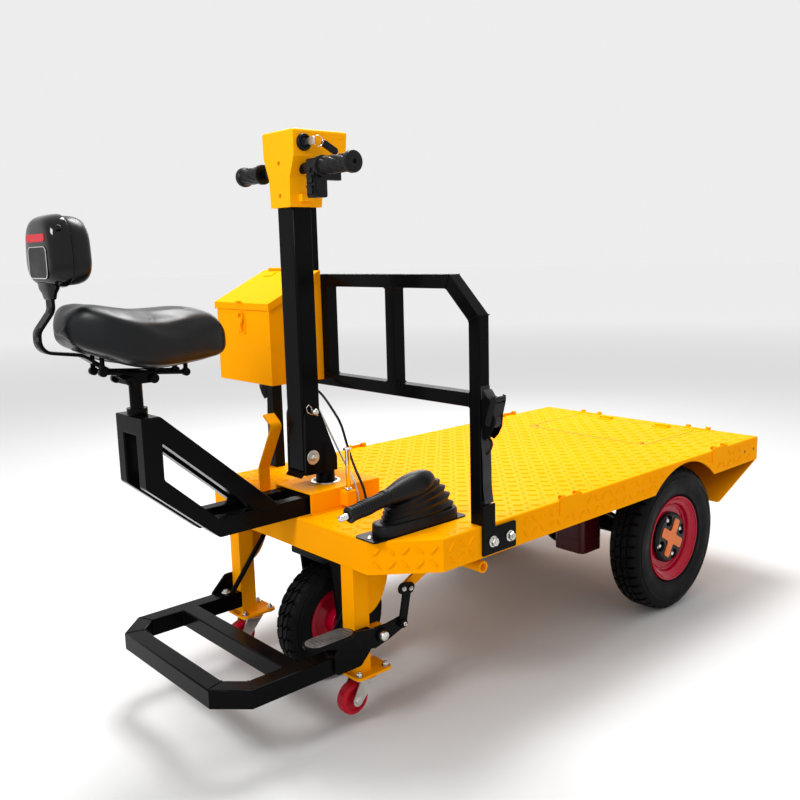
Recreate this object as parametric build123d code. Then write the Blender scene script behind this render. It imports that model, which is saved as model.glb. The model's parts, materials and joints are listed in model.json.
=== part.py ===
from build123d import *
import math
import os

# Ride-on electric flatbed cart, millimetres.
# While it is drawn, X runs from the deck's driver-end edge (0) towards the cargo end, Y to the
# driver's left and Z up from the floor. save() moves X so that the origin is mid-length.

# Shared clearances
touch = 0.3               # seats of separate pieces
bearing_gap = 0.3         # turning pieces on their pins

# Deck
deck_length = 1440
deck_width = 790
tyre_room = 25            # deck's top above the rear tyres
deck_plate = 4
deck_bend = 4             # outside radius of the folded edges
skirt_depth = 70
skirt_wall = 4
corner_run = 118          # cut front corners, along X
corner_width = 98         # and along Y
arch_gap = 16             # skirt arch to tyre
arch_shift = 12           # arch's middle behind the rear axle
fence_hole = 9            # pair of holes in each skirt near the cargo end
fence_hole_setbacks = (75, 22)

# Frame below the deck
rail_inner = 226
rail_width = 40
rail_height = 60
front_members = (300, 600)
rear_member_lead = 150    # last cross member, ahead of the rear axle
member_width = 40
member_height = 45

# Hatch and the battery well under it
hatch_setback = 50        # hatch to the cargo edge
hatch_length = 275
hatch_width = 434
hatch_gap = 3
hatch_barrel = 8
hatch_leaf_length = 50
hatch_leaf_width = 22
hatch_leaf = 2
well_wall = 3
well_rim = 12
well_side_rim = 6
well_depth = 133          # deck's top to the well's floor
tail_gap = 5              # sloped tail plate to the well above it and to the tyres ahead of it
battery_gap = 8
battery_side_gap = 7
battery_height = 108
tail_drop = 90
tail_plate = 4
tail_lip = 12

# Rear wheels and axle
axle_setback = 410        # rear axle to the cargo edge
rear_tyre_diameter = 400
rear_tyre_width = 96
rear_tyre_outer = 380     # outer face from the middle
rear_bead_diameter = 236
bead_share = 0.72         # bead width as a share of a tyre's width
rim_dish = 34             # rim's disc behind the tyre's outer face
rim_lip = 12
rim_step = 10
rim_sheet = 8
rim_hub_diameter = 68
axle_diameter = 30
axle_tube = 52
axle_tube_end = 40        # tube ends this far inside the wheel's middle
axle_stub = 8             # shaft beyond the rim's disc
motor_diameter = 168
motor_width = 150
motor_flange = 190
motor_flange_width = 16
spring_width = 30
spring_leaf = 7
spring_half = 205
spring_shares = (1, 0.72, 0.46)
spring_pack = 18
spring_eye = 26
spring_eye_drop = 20
spring_hanger = 20
spring_saddle = 68
spring_saddle_drop = 8
cap_diameter = 140
cap_depth = 16
cap_bevel = 7
cap_pocket = 30
cap_pocket_circle = 104
cap_pocket_floor = 7
cap_turn = 15             # how far the bolt pockets are turned, in degrees
insert_span = 108
insert_arm = 27
insert_corner = 6
insert_rise = 2

# Steering, fork and front wheel
steer_x = 124
front_tyre_diameter = 280
front_tyre_width = 80
front_bead_diameter = 156
front_hub_diameter = 60
front_hub_overhang = 6
front_axle = 14
front_axle_end = 12
shaft_diameter = 32
shaft_boss = 44           # thick end under the column's bracket
shaft_collar = 56
shaft_collar_height = 3
shaft_hole_gap = 2
head_tube_diameter = 58
head_tube_gap = 45        # head tube's lower end above the fork's crown
head_plate_length = 140
head_plate_width = 180
head_plate = 8
fork_gap = 8              # hub face to fork leg
fork_leg = 8
fork_leg_top = 84
fork_leg_end = 22         # radius of the rounded leg end
crown_length = 124
crown_height = 22         # crown above the tyre
crown_plate = 14

# Steering box on the deck, with the lock pin and its socket
box_start = 30
box_length = 200
box_width = 140
box_height = 49
box_wall = 4
pin_offset = 4            # lock pin behind the steering axis
pin_gap = 11              # and outside the box
pin_diameter = 11
pin_height = 138
pin_head = 19
pin_head_height = 4
socket_length = 28
socket_width = 22
socket_height = 35
socket_lift = 6

# Bent flat-bar hook beside the steering box
hook_start = 14
hook_width = 30
hook_bar = 5
hook_y = 112
hook_reach = 62           # how far it leans in
hook_bend = 13
hook_levels = (80, 187, 210)

# Column, head and handlebar
column_front = 45
column_depth = 50
column_width = 60
column_gap = 42           # steering box to the column's foot
column_corner = 5
cable_cover_depth = 18
cable_cover_width = 44
cable_cover_height = 136
cheek = 6
bracket_drop = 10
bracket_base = 6
bracket_height = 154
bracket_back = 133
bracket_heel = 32
bracket_ear = 22          # radius of the rounded top
head_top = 1256
head_height = 160
head_front = 34
head_edge = 6
head_step_low = 62        # levels where the head starts and stops widening
head_step_high = 104
head_neck_length = 84
head_neck_width = 72
head_step_length = 88
head_step_width = 78
head_box_length = 138
head_box_width = 112
head_crest_length = 142
head_crest_width = 116
screw_hole = 10
screw_depth = 14
screw_levels = (24, 92)
bar_x = 66
bar_rise = 79             # bar above the head's foot
bar_diameter = 22
bar_left = 190            # bar's ends from the middle
bar_right = 215
grip_diameter = 39
grip_start = 106          # grips' inner ends from the middle
grip_flange = 45
grip_flange_length = 8
grip_cap = 3
grip_collar = 45
grip_collar_length = 12
switch_inset = 2
switch_length = 34
switch_width = 26
switch_drop = 63
switch_rise = 17
switch_edge = 5
throttle_length = 38
throttle_width = 14
throttle_height = 18
throttle_drop = 27
key_drop = 28
key_shift = 6             # key ahead of the bar
key_ring = 36
key_ring_length = 10
key_length = 24
key_width = 24
key_blade = 4
key_sink = 4

# Caster legs and casters
leg_size = 40
leg_centre = 223
leg_gusset_reach = 66
leg_gusset_drop = 122
leg_gusset = 6
leg_gusset_shift = 10
leg_height = 58           # caster axle to the leg's foot
caster_setback = 18       # caster's swivel behind the leg's middle
caster_plate_length = 96
caster_plate_width = 80
caster_plate = 6
caster_plate_corner = 12
caster_clearance = 25     # the anti-tip casters hang this far above the floor
caster_wheel_diameter = 70
caster_wheel_width = 26
caster_tread = 9
caster_hub = 18
caster_hub_overhang = 4
caster_edge = 4
caster_trail = 35
caster_axle = 10
caster_axle_end = 6
caster_fork_gap = 5
caster_fork_plate = 3
caster_fork_end = 13
caster_fork_top = 48
caster_race = 52
caster_race_height = 12
swivel_pin = 16

# Foot frame and stays
foot_top = 178
foot_tube = 40
foot_edge = 3
foot_reach = 310
foot_corner = 60
foot_bar_x = 135
ear_plate = 6
ear_front = 55
ear_rise = 40
ear_heel = 30
ear_corner = 12
stay_diameter = 12
stay_inset = 8
stay_foot_x = -28
stay_foot_length = 36
stay_foot_width = 28
stay_foot_plate = 8
stay_top_x = 112
stay_lug_length = 24
stay_lug_width = 8

# Guard across the deck
guard_x = 230
guard_tube = 30
guard_height = 523
guard_rail_height = 265   # middle of the lower rail above the deck
guard_corner = 83
guard_post = 122          # middle of the inner posts
bracket_plate = 6
bracket_length = 104
bracket_strip = 38
bracket_rise = 45
bracket_step = 8
bracket_foot = 4
strap_width = 26
strap_thickness = 3
strap_above = 30          # strap's top over the lower rail
strap_start = 55          # strap's lower end above the deck
ratchet_width = 34
ratchet_depth = 44
ratchet_height = 98
ratchet_rise = 16         # ratchet's top over the lower rail's middle

# Toolbox on the guard
toolbox_depth = 154
toolbox_inner = 130       # side next to the column
toolbox_width = 235
toolbox_front_height = 192
toolbox_back_height = 266
toolbox_wall = 3
lid_plate = 3
lid_lip = 14
lid_gap = 1
lid_back = 3              # lid's edge to the guard
lid_side_back = 20        # lid's side flanges stop short of the hinge
lid_barrel = 8
lid_barrel_inset = 20

# Seat
seat_tube = 40
seat_side = 30
seat_half = 57
seat_back = 345           # back of the uprights, behind the deck's edge
seat_height = 270         # uprights above the deck
seat_base_end = 80
brace_run = 260
slope_foot = 192          # where the underside starts to rise, behind the deck's edge
slope_height = 131
slope_wall = 12
seat_tie = 36
seat_base_tie = 30
seat_base_tie_inset = 10
post_x = -325
post_diameter = 26
post_collar = 40
post_collar_height = 14
post_height = 64
clamp_length = 52
clamp_width = 60
clamp_height = 22
saddle_rail_lift = 20     # rails above the post's top
saddle_rail = 9
saddle_rail_y = 22
saddle_rail_back = 72
saddle_rail_front = 98
saddle_rail_fall = 16     # rails slope down towards the nose
saddle_gap = 33           # post's top to the saddle's lowest edge
saddle_rear = 468
saddle_rear_radius = 112
saddle_nose_radius = 62
saddle_shape = (
    # distance ahead of the saddle's rear, underside and top above its lowest edge
    (0, 58, 112),
    (38, 42, 128),
    (95, 17, 117),
    (160, 0, 107),
    (252, 3, 107),
    (300, 7, 96),
    (342, 12, 56),
)
backrest_back = 491
backrest_width = 152
backrest_height = 130
backrest_lift = 156       # above the saddle's lowest edge
backrest_shell = 34
backrest_pad = 46
backrest_corner = 40
backrest_edge = 14
pad_edge = 20
pad_inset = 3
neck_width = 46
neck_depth = 12
neck_height = 9
strip = 6
strip_width = 30
strip_bend = 24
bar_back = 506            # back of the backrest's bent bar, behind the deck's edge
bar_run = 78              # from its back to the bend under the saddle
bar_levels = (30, 42, 78, 115)  # its bends above the saddle's lowest edge

# Foot brake
pedal_x = 61
pedal_z = 197
lever_gap = 13
lever_plate = 6
lever_shape = (
    # along X from the pivot, lower edge and upper edge from the pivot's level
    (-156, 17, 29),
    (-81, -6, 31),
    (-18, -25, 19),
    (19, -17, 19),
    (67, -1, 25),
)
pedal_length = 118
pedal_width = 52
pedal_plate = 6
pedal_shift = 136
pedal_pin = 16
pedal_pin_end = 10
pedal_lug = 14
pedal_lug_height = 30
cross_shaft_x = 240
cross_shaft_diameter = 25
cross_shaft_bore = 19
cross_shaft_inset = 4
cross_shaft_gap = 10      # below the skirts
shaft_hanger = 28
shaft_hanger_width = 16
crank_drop = 50
crank_reach = 106
crank_end = 12
link_width = 20
link_foot = 57            # link's foot beyond the pedal's pivot

# Hand brake
brake_inset = 106         # middle of the hand brake to the deck's right edge
brake_base_front = 0
brake_base_length = 264
brake_base_width = 66
brake_base_corner = 9
brake_base_plate = 3
boot_front = 30
boot_length = 224
boot_width = 62
boot_wall_height = 18
boot_edge = 4
boot_core = 40
boot_folds = (
    # front end, back end, front and back level of the middle above the deck, width, thickness
    (34, 254, 34, 24, 62, 12),
    (50, 240, 46, 40, 58, 12),
    (58, 226, 57, 57, 54, 12),
    (61, 206, 67, 72, 50, 13),
    (64, 188, 78, 87, 46, 18),
)
sleeve_diameter = 40
sleeve_back = 132
lever_axis_lift = 87      # lever's high end above the deck
lever_high_x = 132
lever_grip_x = 52
lever_tip_x = -38
lever_button_x = -62
lever_fall = 0.15
lever_diameter = 30
lever_grip = 34
lever_button = 14

# Hinge knuckles for a drop fence
knuckle_diameter = 12
knuckle_bore = 7
knuckle_length = 14
knuckle_spread = 54
knuckle_inset = 4
hinge_front = 532
hinge_setback = 225
hinge_leaf = 3
hinge_leaf_overhang = 13
hinge_leaf_drop = 34
hinge_leaf_rise = 7
tail_hinge_y = 203
tail_knuckle = 8
tail_knuckle_bore = 5
tail_spread = 68
tail_leaf = 2
tail_leaf_width = 22

# Cables from the toolbox to the deck: x, y and height above the deck, the first at the toolbox
black_cable = 6
black_route = ((194, 146, guard_rail_height), (188, 116, 249), (178, 70, 237), (175, 36, 213), (174, -2, 179),
               (174, -20, 135), (173, -38, 99), (168, -64, 69), (168, -84, 43), (171, -94, 0))
grey_cable = 5
grey_route = ((186, 154, guard_rail_height), (184, 122, 229), (177, 76, 187), (173, 38, 148), (170, 2, 108),
              (163, -36, 78), (154, -66, 61), (151, -84, 33), (152, -89, 0))
cable_bend = 0.45         # share of the shorter run that a bend takes

# Motor controller case below the deck
case_length = 90
case_width = 100
case_height = 206
case_rail_gap = 4
case_overhang = 26
case_corner = 16

# Levels and places that follow from the sizes above
half = deck_width / 2
deck_top = rear_tyre_diameter + tyre_room
deck_under = deck_top - deck_plate
skirt_bottom = deck_top - skirt_depth
rail_outer = rail_inner + rail_width
rail_middle = (rail_inner + rail_outer) / 2
rail_bottom = deck_under - rail_height
axle_x = deck_length - axle_setback
rear_axle_z = rear_tyre_diameter / 2
front_axle_z = front_tyre_diameter / 2
wheel_y = rear_tyre_outer - rear_tyre_width / 2
rear_member = axle_x - rear_member_lead
hatch_end = deck_length - hatch_setback
hatch_start = hatch_end - hatch_length
tail_start = axle_x + rear_tyre_diameter / 2 + tail_gap
box_end = box_start + box_length
box_half = box_width / 2
box_top = deck_top + box_height
pin_x = steer_x + pin_offset
pin_y = -box_half - pin_gap
column_foot = box_top + column_gap
column_back = column_front + column_depth
head_bottom = head_top - head_height
bar_z = head_bottom + bar_rise
leg_back = skirt_wall + leg_size
leg_inner = leg_centre - leg_size / 2
leg_outer = leg_centre + leg_size / 2
caster_axle_z = caster_clearance + caster_wheel_diameter / 2
leg_bottom = caster_axle_z + leg_height
caster_x = skirt_wall + leg_size / 2 + caster_setback
caster_top = leg_bottom - caster_plate
foot_bottom = foot_top - foot_tube
guard_top = deck_top + guard_height
guard_rail = deck_top + guard_rail_height
toolbox_floor = guard_rail
seat_frame_top = deck_top + seat_height
post_top = seat_frame_top + post_height
saddle_floor = post_top + saddle_gap
backrest_floor = saddle_floor + backrest_lift
lever_y = -leg_outer - lever_gap
shaft_z = skirt_bottom - cross_shaft_diameter / 2 - cross_shaft_gap
brake_y = brake_inset - half
mid_x = (deck_length - max(backrest_back, bar_back)) / 2

os.makedirs("parts", exist_ok=True)


def save(node, *solids):
    """Write one node, moved so that the origin is at the middle of the cart's length."""
    moved = [Pos(-mid_x, 0, 0) * solid for solid in solids]
    shape = moved[0] if len(moved) == 1 else Compound(children=moved)
    export_step(shape, f"parts/{node}.step")


def block(x, y, z):
    """Box between two x, two y and two z values."""
    size = [abs(b - a) for a, b in (x, y, z)]
    middle = [(a + b) / 2 for a, b in (x, y, z)]
    return Pos(*middle) * Box(*size)


def rod(start, end, diameter):
    """Round bar between two points."""
    a, b = Vector(*start), Vector(*end)
    plane = Plane(origin=a, z_dir=(b - a))
    return extrude(plane * Circle(diameter / 2), (b - a).length)


def span(side, near, far):
    """Two y values on one side of the cart, the lower first."""
    return sorted((side * near, side * far))


def outline(points):
    """Face inside a closed line through the points."""
    return make_face(Polyline(*points, close=True))


def side_plate(face, y0, y1):
    """Plate drawn in XZ, between two y values."""
    return extrude(Plane.XZ * face, -(y1 - y0)).moved(Location((0, y0, 0)))


def front_plate(points, x0, x1):
    """Plate drawn in YZ, between two x values."""
    return extrude(Plane.YZ * outline(points), x1 - x0).moved(Location((x0, 0, 0)))


def circle_edges(x, z, radius):
    """Edges of a circle, for drawing a hull round it."""
    return (Pos(x, z) * CenterArc((0, 0), radius, 0, 360)).edges()


def tapered_arm(x0, x1, z, end_x, end_z, end_radius):
    """Face of a flat arm with a straight end from x0 to x1 and a round end."""
    return make_face(make_hull(Line((x0, z), (x1, z)).edges() + circle_edges(end_x, end_z, end_radius)))


def wheel(face, x, y, z):
    """Solid of revolution about an axle along Y; the face is drawn as (radius, along)."""
    return Pos(x, y, z) * revolve(Plane.XY * face, Axis.Y)


def tyre_face(outside, bead, width):
    """Half section of a tyre: bead, bulged sidewalls, rounded shoulders and a crowned tread."""
    r, t, w = outside / 2, bead / 2, width / 2
    wall = r - t
    bead_w, shoulder_w, edge_w, tread_w = bead_share * w, 0.93 * w, 0.87 * w, 0.72 * w
    shoulder, edge, crown = r - 0.22 * wall, r - 0.08 * wall, r - 0.02 * wall
    flank = (t + shoulder) / 2
    half_lines = [ThreePointArc((t, bead_w), (flank, w), (shoulder, shoulder_w)),
                  ThreePointArc((shoulder, shoulder_w), (edge, edge_w), (crown, tread_w))]
    mirrored = [ThreePointArc((crown, -tread_w), (edge, -edge_w), (shoulder, -shoulder_w)),
                ThreePointArc((shoulder, -shoulder_w), (flank, -w), (t, -bead_w))]
    tread = ThreePointArc((crown, tread_w), (r, 0), (crown, -tread_w))
    return make_face([Line((t, -bead_w), (t, bead_w)), *half_lines, tread, *mirrored])


# Deck: one folded sheet with cut front corners, wheel arches, hatch opening and steering hole
front_half = half - corner_width
deck_outline = outline([(0, -front_half), (corner_run, -half), (deck_length, -half),
                        (deck_length, half), (corner_run, half), (0, front_half)])
deck = extrude(Pos(0, 0, skirt_bottom) * deck_outline, skirt_depth)
deck = fillet(deck.faces().sort_by(Axis.Z)[-1].edges(), deck_bend)
deck -= extrude(Pos(0, 0, skirt_bottom) * offset(deck_outline, -skirt_wall, kind=Kind.INTERSECTION),
                skirt_depth - deck_plate)
arch_diameter = rear_tyre_diameter + 2 * arch_gap
arch_x = axle_x + arch_shift
deck -= rod((arch_x, -half, rear_axle_z), (arch_x, half, rear_axle_z), arch_diameter)
deck -= block((hatch_start, hatch_end), (-hatch_width / 2, hatch_width / 2), (deck_under, deck_top))
deck -= rod((steer_x, 0, deck_under), (steer_x, 0, deck_top), head_tube_diameter + 2 * touch)
fence_hole_z = deck_top - skirt_depth / 2
for setback in fence_hole_setbacks:
    hole_x = deck_length - setback
    deck -= rod((hole_x, -half, fence_hole_z), (hole_x, half, fence_hole_z), fence_hole)
save("deck", deck)

# Two rails and their cross members below the deck plate
rails = [block((leg_back, deck_length - skirt_wall), span(side, rail_inner, rail_outer),
               (rail_bottom, deck_under)) for side in (-1, 1)]
under_frame = rails[0] + rails[1]
for x in (*front_members, rear_member):
    under_frame += block((x - member_width / 2, x + member_width / 2), (-rail_inner, rail_inner),
                         (deck_under - member_height, deck_under))
save("under_frame", under_frame)

# Sloped plate that closes the cargo end from below
tail_low = skirt_bottom - tail_drop
tail_face = outline([(tail_start, tail_low), (deck_length, skirt_bottom - tail_plate),
                     (deck_length, skirt_bottom), (tail_start, tail_low + tail_plate),
                     (tail_start - tail_lip, tail_low + tail_plate), (tail_start - tail_lip, tail_low)])
save("tail_plate", side_plate(tail_face, -half + skirt_wall, half - skirt_wall))
tail_slope = (tail_drop - tail_plate) / (deck_length - tail_start)

# Battery well: a sheet trough under the hatch opening, its floor following the tail plate
well_front, well_back = hatch_start + well_rim, hatch_end - well_rim
well_half = hatch_width / 2 - well_rim
well_floor = deck_top - well_depth
knee_x = deck_length - (skirt_bottom + tail_gap - well_floor) / tail_slope
back_floor = skirt_bottom + tail_gap - tail_slope * (deck_length - well_back)
rim_under = deck_under - well_wall
well = side_plate(outline([(well_front, rim_under), (well_front, well_floor), (knee_x, well_floor),
                           (well_back, back_floor), (well_back, rim_under)]), -well_half, well_half)
rim_half = hatch_width / 2 + well_side_rim
well += block((hatch_start - well_rim, hatch_end + well_rim), (-rim_half, rim_half), (rim_under, deck_under))
inside_front, inside_back = well_front + well_wall, well_back - well_wall
inside_floor = well_floor + well_wall
well -= side_plate(outline([(inside_front, deck_under), (inside_front, inside_floor), (knee_x, inside_floor),
                            (inside_back, back_floor + well_wall), (inside_back, deck_under)]),
                   -well_half + well_wall, well_half - well_wall)
save("battery_well", well)
battery_half = well_half - well_wall - battery_side_gap
battery = block((inside_front + battery_gap, knee_x - battery_gap), (-battery_half, battery_half),
                (inside_floor, inside_floor + battery_height))
save("battery", battery)

# Hatch, flush with the deck, with two hinge barrels at its cargo-end edge
hatch_half = hatch_width / 2 - hatch_gap
hatch_axis_x = hatch_end - hatch_gap
hatch_axis_z = deck_top + hatch_barrel / 2
hatch = block((hatch_start + hatch_gap, hatch_axis_x), (-hatch_half, hatch_half),
              (deck_under + touch, deck_top))
for y in (-hatch_half / 2, hatch_half / 2):
    low, high = y - hatch_leaf_length / 2, y + hatch_leaf_length / 2
    hatch += rod((hatch_axis_x, low, hatch_axis_z), (hatch_axis_x, high, hatch_axis_z), hatch_barrel)
    hatch += block((hatch_axis_x - hatch_leaf_width, hatch_axis_x), (low, high),
                   (deck_top, deck_top + hatch_leaf))
save("hatch", hatch)

# Legs of the anti-tip casters with curved gussets and caster plates
legs = []
for side in (-1, 1):
    y = side * leg_centre
    leg = block((skirt_wall, leg_back), span(side, leg_inner, leg_outer), (leg_bottom, deck_under))
    plate = block((caster_x - caster_plate_length / 2, caster_x + caster_plate_length / 2),
                  (y - caster_plate_width / 2, y + caster_plate_width / 2), (caster_top, leg_bottom))
    plate = fillet(plate.edges().filter_by(Axis.Z), caster_plate_corner)
    plate -= rod((caster_x, y, caster_top), (caster_x, y, leg_bottom), swivel_pin + 2 * bearing_gap)
    curve = Pos(leg_back, rail_bottom) * Ellipse(leg_gusset_reach, leg_gusset_drop)
    gusset_y = side * (leg_centre + leg_gusset_shift)
    gusset = side_plate(curve, gusset_y - leg_gusset / 2, gusset_y + leg_gusset / 2)
    gusset &= block((leg_back, leg_back + leg_gusset_reach), (-half, half),
                    (rail_bottom - leg_gusset_drop, rail_bottom))
    legs.append(leg + plate + gusset)
legs[0] += block((leg_back, pedal_x + pedal_pin), (-leg_outer, -leg_outer + pedal_lug),
                 (pedal_z - pedal_lug_height / 2, pedal_z + pedal_lug_height / 2))
save("caster_legs", *legs)

# Casters: forked bracket on a swivel post, and a wheel on its pin
fork_half = caster_wheel_width / 2 + caster_fork_gap
axle_reach = fork_half + caster_axle_end
roller_x = caster_x - caster_trail
race_bottom = caster_top - caster_race_height
arm = tapered_arm(caster_x - caster_fork_top / 2, caster_x + caster_fork_top / 2,
                  race_bottom + caster_race_height / 2, roller_x, caster_axle_z, caster_fork_end)
r, w = caster_wheel_diameter / 2, caster_wheel_width / 2
bore, hub, web = caster_axle / 2 + bearing_gap, caster_hub / 2, r - caster_tread
hub_w, web_w = w + caster_hub_overhang, w - caster_edge
roller = outline([(bore, -hub_w), (hub, -hub_w), (hub, -web_w), (web, -web_w), (web, -w),
                  (r - caster_edge, -w), (r, -web_w), (r, web_w), (r - caster_edge, w), (web, w),
                  (web, web_w), (hub, web_w), (hub, hub_w), (bore, hub_w)])
for side, name in ((-1, "right"), (1, "left")):
    y = side * leg_centre
    caster = rod((caster_x, y, race_bottom), (caster_x, y, caster_top - touch), caster_race)
    caster += rod((caster_x, y, caster_top - touch), (caster_x, y, leg_bottom - touch), swivel_pin)
    for face_side in (-1, 1):
        low, high = span(face_side, fork_half, fork_half + caster_fork_plate)
        caster += side_plate(arm, y + low, y + high)
    caster += rod((roller_x, y - axle_reach, caster_axle_z), (roller_x, y + axle_reach, caster_axle_z),
                  caster_axle)
    save(f"caster_fork_{name}", caster)
    save(f"caster_wheel_{name}", wheel(roller, roller_x, y, caster_axle_z))

# Foot frame: square tube bent round three sides, a cross bar and rounded end plates on the legs
foot_outline = outline([(skirt_wall, -leg_outer), (foot_corner - foot_reach, -leg_outer),
                        (-foot_reach, foot_corner - leg_outer), (-foot_reach, leg_outer - foot_corner),
                        (foot_corner - foot_reach, leg_outer), (skirt_wall, leg_outer)])
inside = offset(foot_outline, -foot_tube, kind=Kind.INTERSECTION)
inside += Pos(skirt_wall - foot_tube, 0) * Rectangle(2 * foot_tube, 2 * leg_inner)
inside -= Pos(-foot_bar_x, 0) * Rectangle(foot_tube, 2 * leg_inner)
foot_frame = extrude(Pos(0, 0, foot_bottom) * (foot_outline - inside), foot_tube)
for end in (0, -1):
    foot_frame = fillet(foot_frame.faces().filter_by(Axis.Z).sort_by(Axis.Z)[end].edges(), foot_edge)
for side in (-1, 1):
    ear = side_plate(outline([(-ear_front, foot_bottom), (leg_back - ear_heel, foot_bottom),
                              (leg_back, foot_bottom + ear_heel), (leg_back, foot_top + ear_rise),
                              (ear_rise - ear_front, foot_top + ear_rise), (-ear_front, foot_top)]),
                     *span(side, leg_outer, leg_outer + ear_plate))
    foot_frame += fillet(ear.edges().filter_by(Axis.Y), ear_corner)
save("foot_frame", foot_frame)

# Stays from the foot frame's arms up to the rails, inside the legs
stays = []
stay_line = leg_inner - stay_inset
foot_z = foot_top + stay_foot_plate
for side in (-1, 1):
    y = side * stay_line
    stay = rod((stay_foot_x, y, foot_z), (stay_top_x, y, rail_bottom), stay_diameter)
    stay += block((stay_foot_x - stay_foot_length / 2, stay_foot_x + stay_foot_length / 2),
                  span(side, stay_line - stay_diameter / 2, stay_line - stay_diameter / 2 + stay_foot_width),
                  (foot_top, foot_z))
    stay += block((stay_top_x - stay_lug_length / 2, stay_top_x + stay_lug_length / 2),
                  (y - stay_lug_width / 2, y + stay_lug_width / 2), (rail_bottom - stay_diameter, deck_under))
    stays.append(stay)
save("foot_stays", *stays)

# Steering box: raised cover on the deck, open towards the seat, with the lock pin's socket
cover = block((box_start, box_end), (-box_half, box_half), (deck_top, box_top))
cover -= block((box_start, box_end - box_wall), (-box_half + box_wall, box_half - box_wall),
               (deck_top, box_top - box_wall))
cover -= rod((steer_x, 0, deck_top), (steer_x, 0, box_top), shaft_diameter + 2 * shaft_hole_gap)
socket_low = deck_top + socket_lift
socket = block((pin_x - socket_length / 2, pin_x + socket_length / 2),
               (-box_half - socket_width, -box_half), (socket_low, socket_low + socket_height))
socket -= rod((pin_x, pin_y, deck_top), (pin_x, pin_y, box_top), pin_diameter + 2 * touch)
save("steering_box", cover + socket)
pin_top = deck_top + pin_height
lock_pin = rod((pin_x, pin_y, deck_top), (pin_x, pin_y, pin_top), pin_diameter)
lock_pin += rod((pin_x, pin_y, pin_top - pin_head_height), (pin_x, pin_y, pin_top), pin_head)
save("lock_pin", lock_pin)

# Hook: one flat bar bent in and out again, welded to the deck beside the steering box
lean_level, in_level, lip_level = (deck_top + level for level in hook_levels)
hook_line = FilletPolyline((hook_y, deck_top), (hook_y, lean_level), (hook_y - hook_reach, in_level),
                           (hook_y - hook_reach / 2, lip_level), radius=hook_bend)
hook = extrude(Plane.YZ * trace(hook_line, hook_bar), hook_width).moved(Location((hook_start, 0, 0)))
save("column_hook", hook)

# Head tube that carries the steering shaft, welded under the deck
crown_z = front_tyre_diameter + crown_height
crown_top = crown_z + crown_plate
head_tube = rod((steer_x, 0, crown_top + head_tube_gap), (steer_x, 0, box_top - box_wall),
                head_tube_diameter)
head_tube += block((steer_x - head_plate_length / 2, steer_x + head_plate_length / 2),
                   (-head_plate_width / 2, head_plate_width / 2), (deck_under - head_plate, deck_under))
head_tube -= rod((steer_x, 0, 0), (steer_x, 0, box_top), shaft_diameter + 2 * bearing_gap)
save("head_tube", head_tube)

# Fork: shaft, collar, crown, two tapered legs and the front axle
hub_half = front_tyre_width / 2 + front_hub_overhang
leg_in = hub_half + fork_gap
leg_out = leg_in + fork_leg
axle_half = leg_out + front_axle_end
bracket_floor = column_foot - bracket_drop
fork = rod((steer_x, 0, crown_z), (steer_x, 0, bracket_floor), shaft_diameter)
fork += rod((steer_x, 0, box_top + touch), (steer_x, 0, box_top + shaft_collar_height), shaft_collar)
fork += rod((steer_x, 0, box_top + shaft_collar_height), (steer_x, 0, bracket_floor), shaft_boss)
fork += block((steer_x - crown_length / 2, steer_x + crown_length / 2), (-leg_out, leg_out),
              (crown_z, crown_top))
leg_face = tapered_arm(steer_x - fork_leg_top / 2, steer_x + fork_leg_top / 2, crown_top,
                       steer_x, front_axle_z, fork_leg_end)
for side in (-1, 1):
    fork += side_plate(leg_face, *span(side, leg_in, leg_out))
fork += rod((steer_x, -axle_half, front_axle_z), (steer_x, axle_half, front_axle_z), front_axle)
save("steering_fork", fork)

# Front wheel
save("front_tyre", wheel(tyre_face(front_tyre_diameter, front_bead_diameter, front_tyre_width),
                         steer_x, 0, front_axle_z))
t, w = front_bead_diameter / 2, front_tyre_width / 2
bore, hub = front_axle / 2 + bearing_gap, front_hub_diameter / 2
bead_w = bead_share * w
front_rim = outline([(bore, -hub_half), (hub, -hub_half), (hub + rim_sheet / 2, -w / 2),
                     (t - 2 * rim_lip, -w / 3), (t - rim_lip, -bead_w), (t, -bead_w), (t, bead_w),
                     (t - rim_lip, bead_w), (t - 2 * rim_lip, w / 3), (hub + rim_sheet / 2, w / 2),
                     (hub, hub_half), (bore, hub_half)])
save("front_rim", wheel(front_rim, steer_x, 0, front_axle_z))

# Column bracket: two slanted cheeks with rounded tops, and the folding column between them
cheek_in = column_width / 2 + touch
cheek_out = cheek_in + cheek
bracket_top = bracket_floor + bracket_height
ear_x = (column_front + column_back) / 2
foot_line = Polyline((column_front, bracket_floor), (bracket_back, bracket_floor),
                     (bracket_back, bracket_floor + bracket_heel))
ear_edges = circle_edges(ear_x, bracket_top - bracket_ear, bracket_ear)
cheek_face = make_face(make_hull(foot_line.edges() + ear_edges))
bracket = block((column_front, bracket_back), (-cheek_out, cheek_out),
                (bracket_floor, bracket_floor + bracket_base))
for side in (-1, 1):
    bracket += side_plate(cheek_face, *span(side, cheek_in, cheek_out))
save("column_bracket", bracket)
column = block((column_front, column_back), (-column_width / 2, column_width / 2), (column_foot, head_bottom))
column = fillet(column.edges().filter_by(Axis.Z), column_corner)
column += block((column_back, column_back + cable_cover_depth),
                (-cable_cover_width / 2, cable_cover_width / 2),
                (head_bottom - cable_cover_height, head_bottom))
save("steering_column", column)

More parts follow.
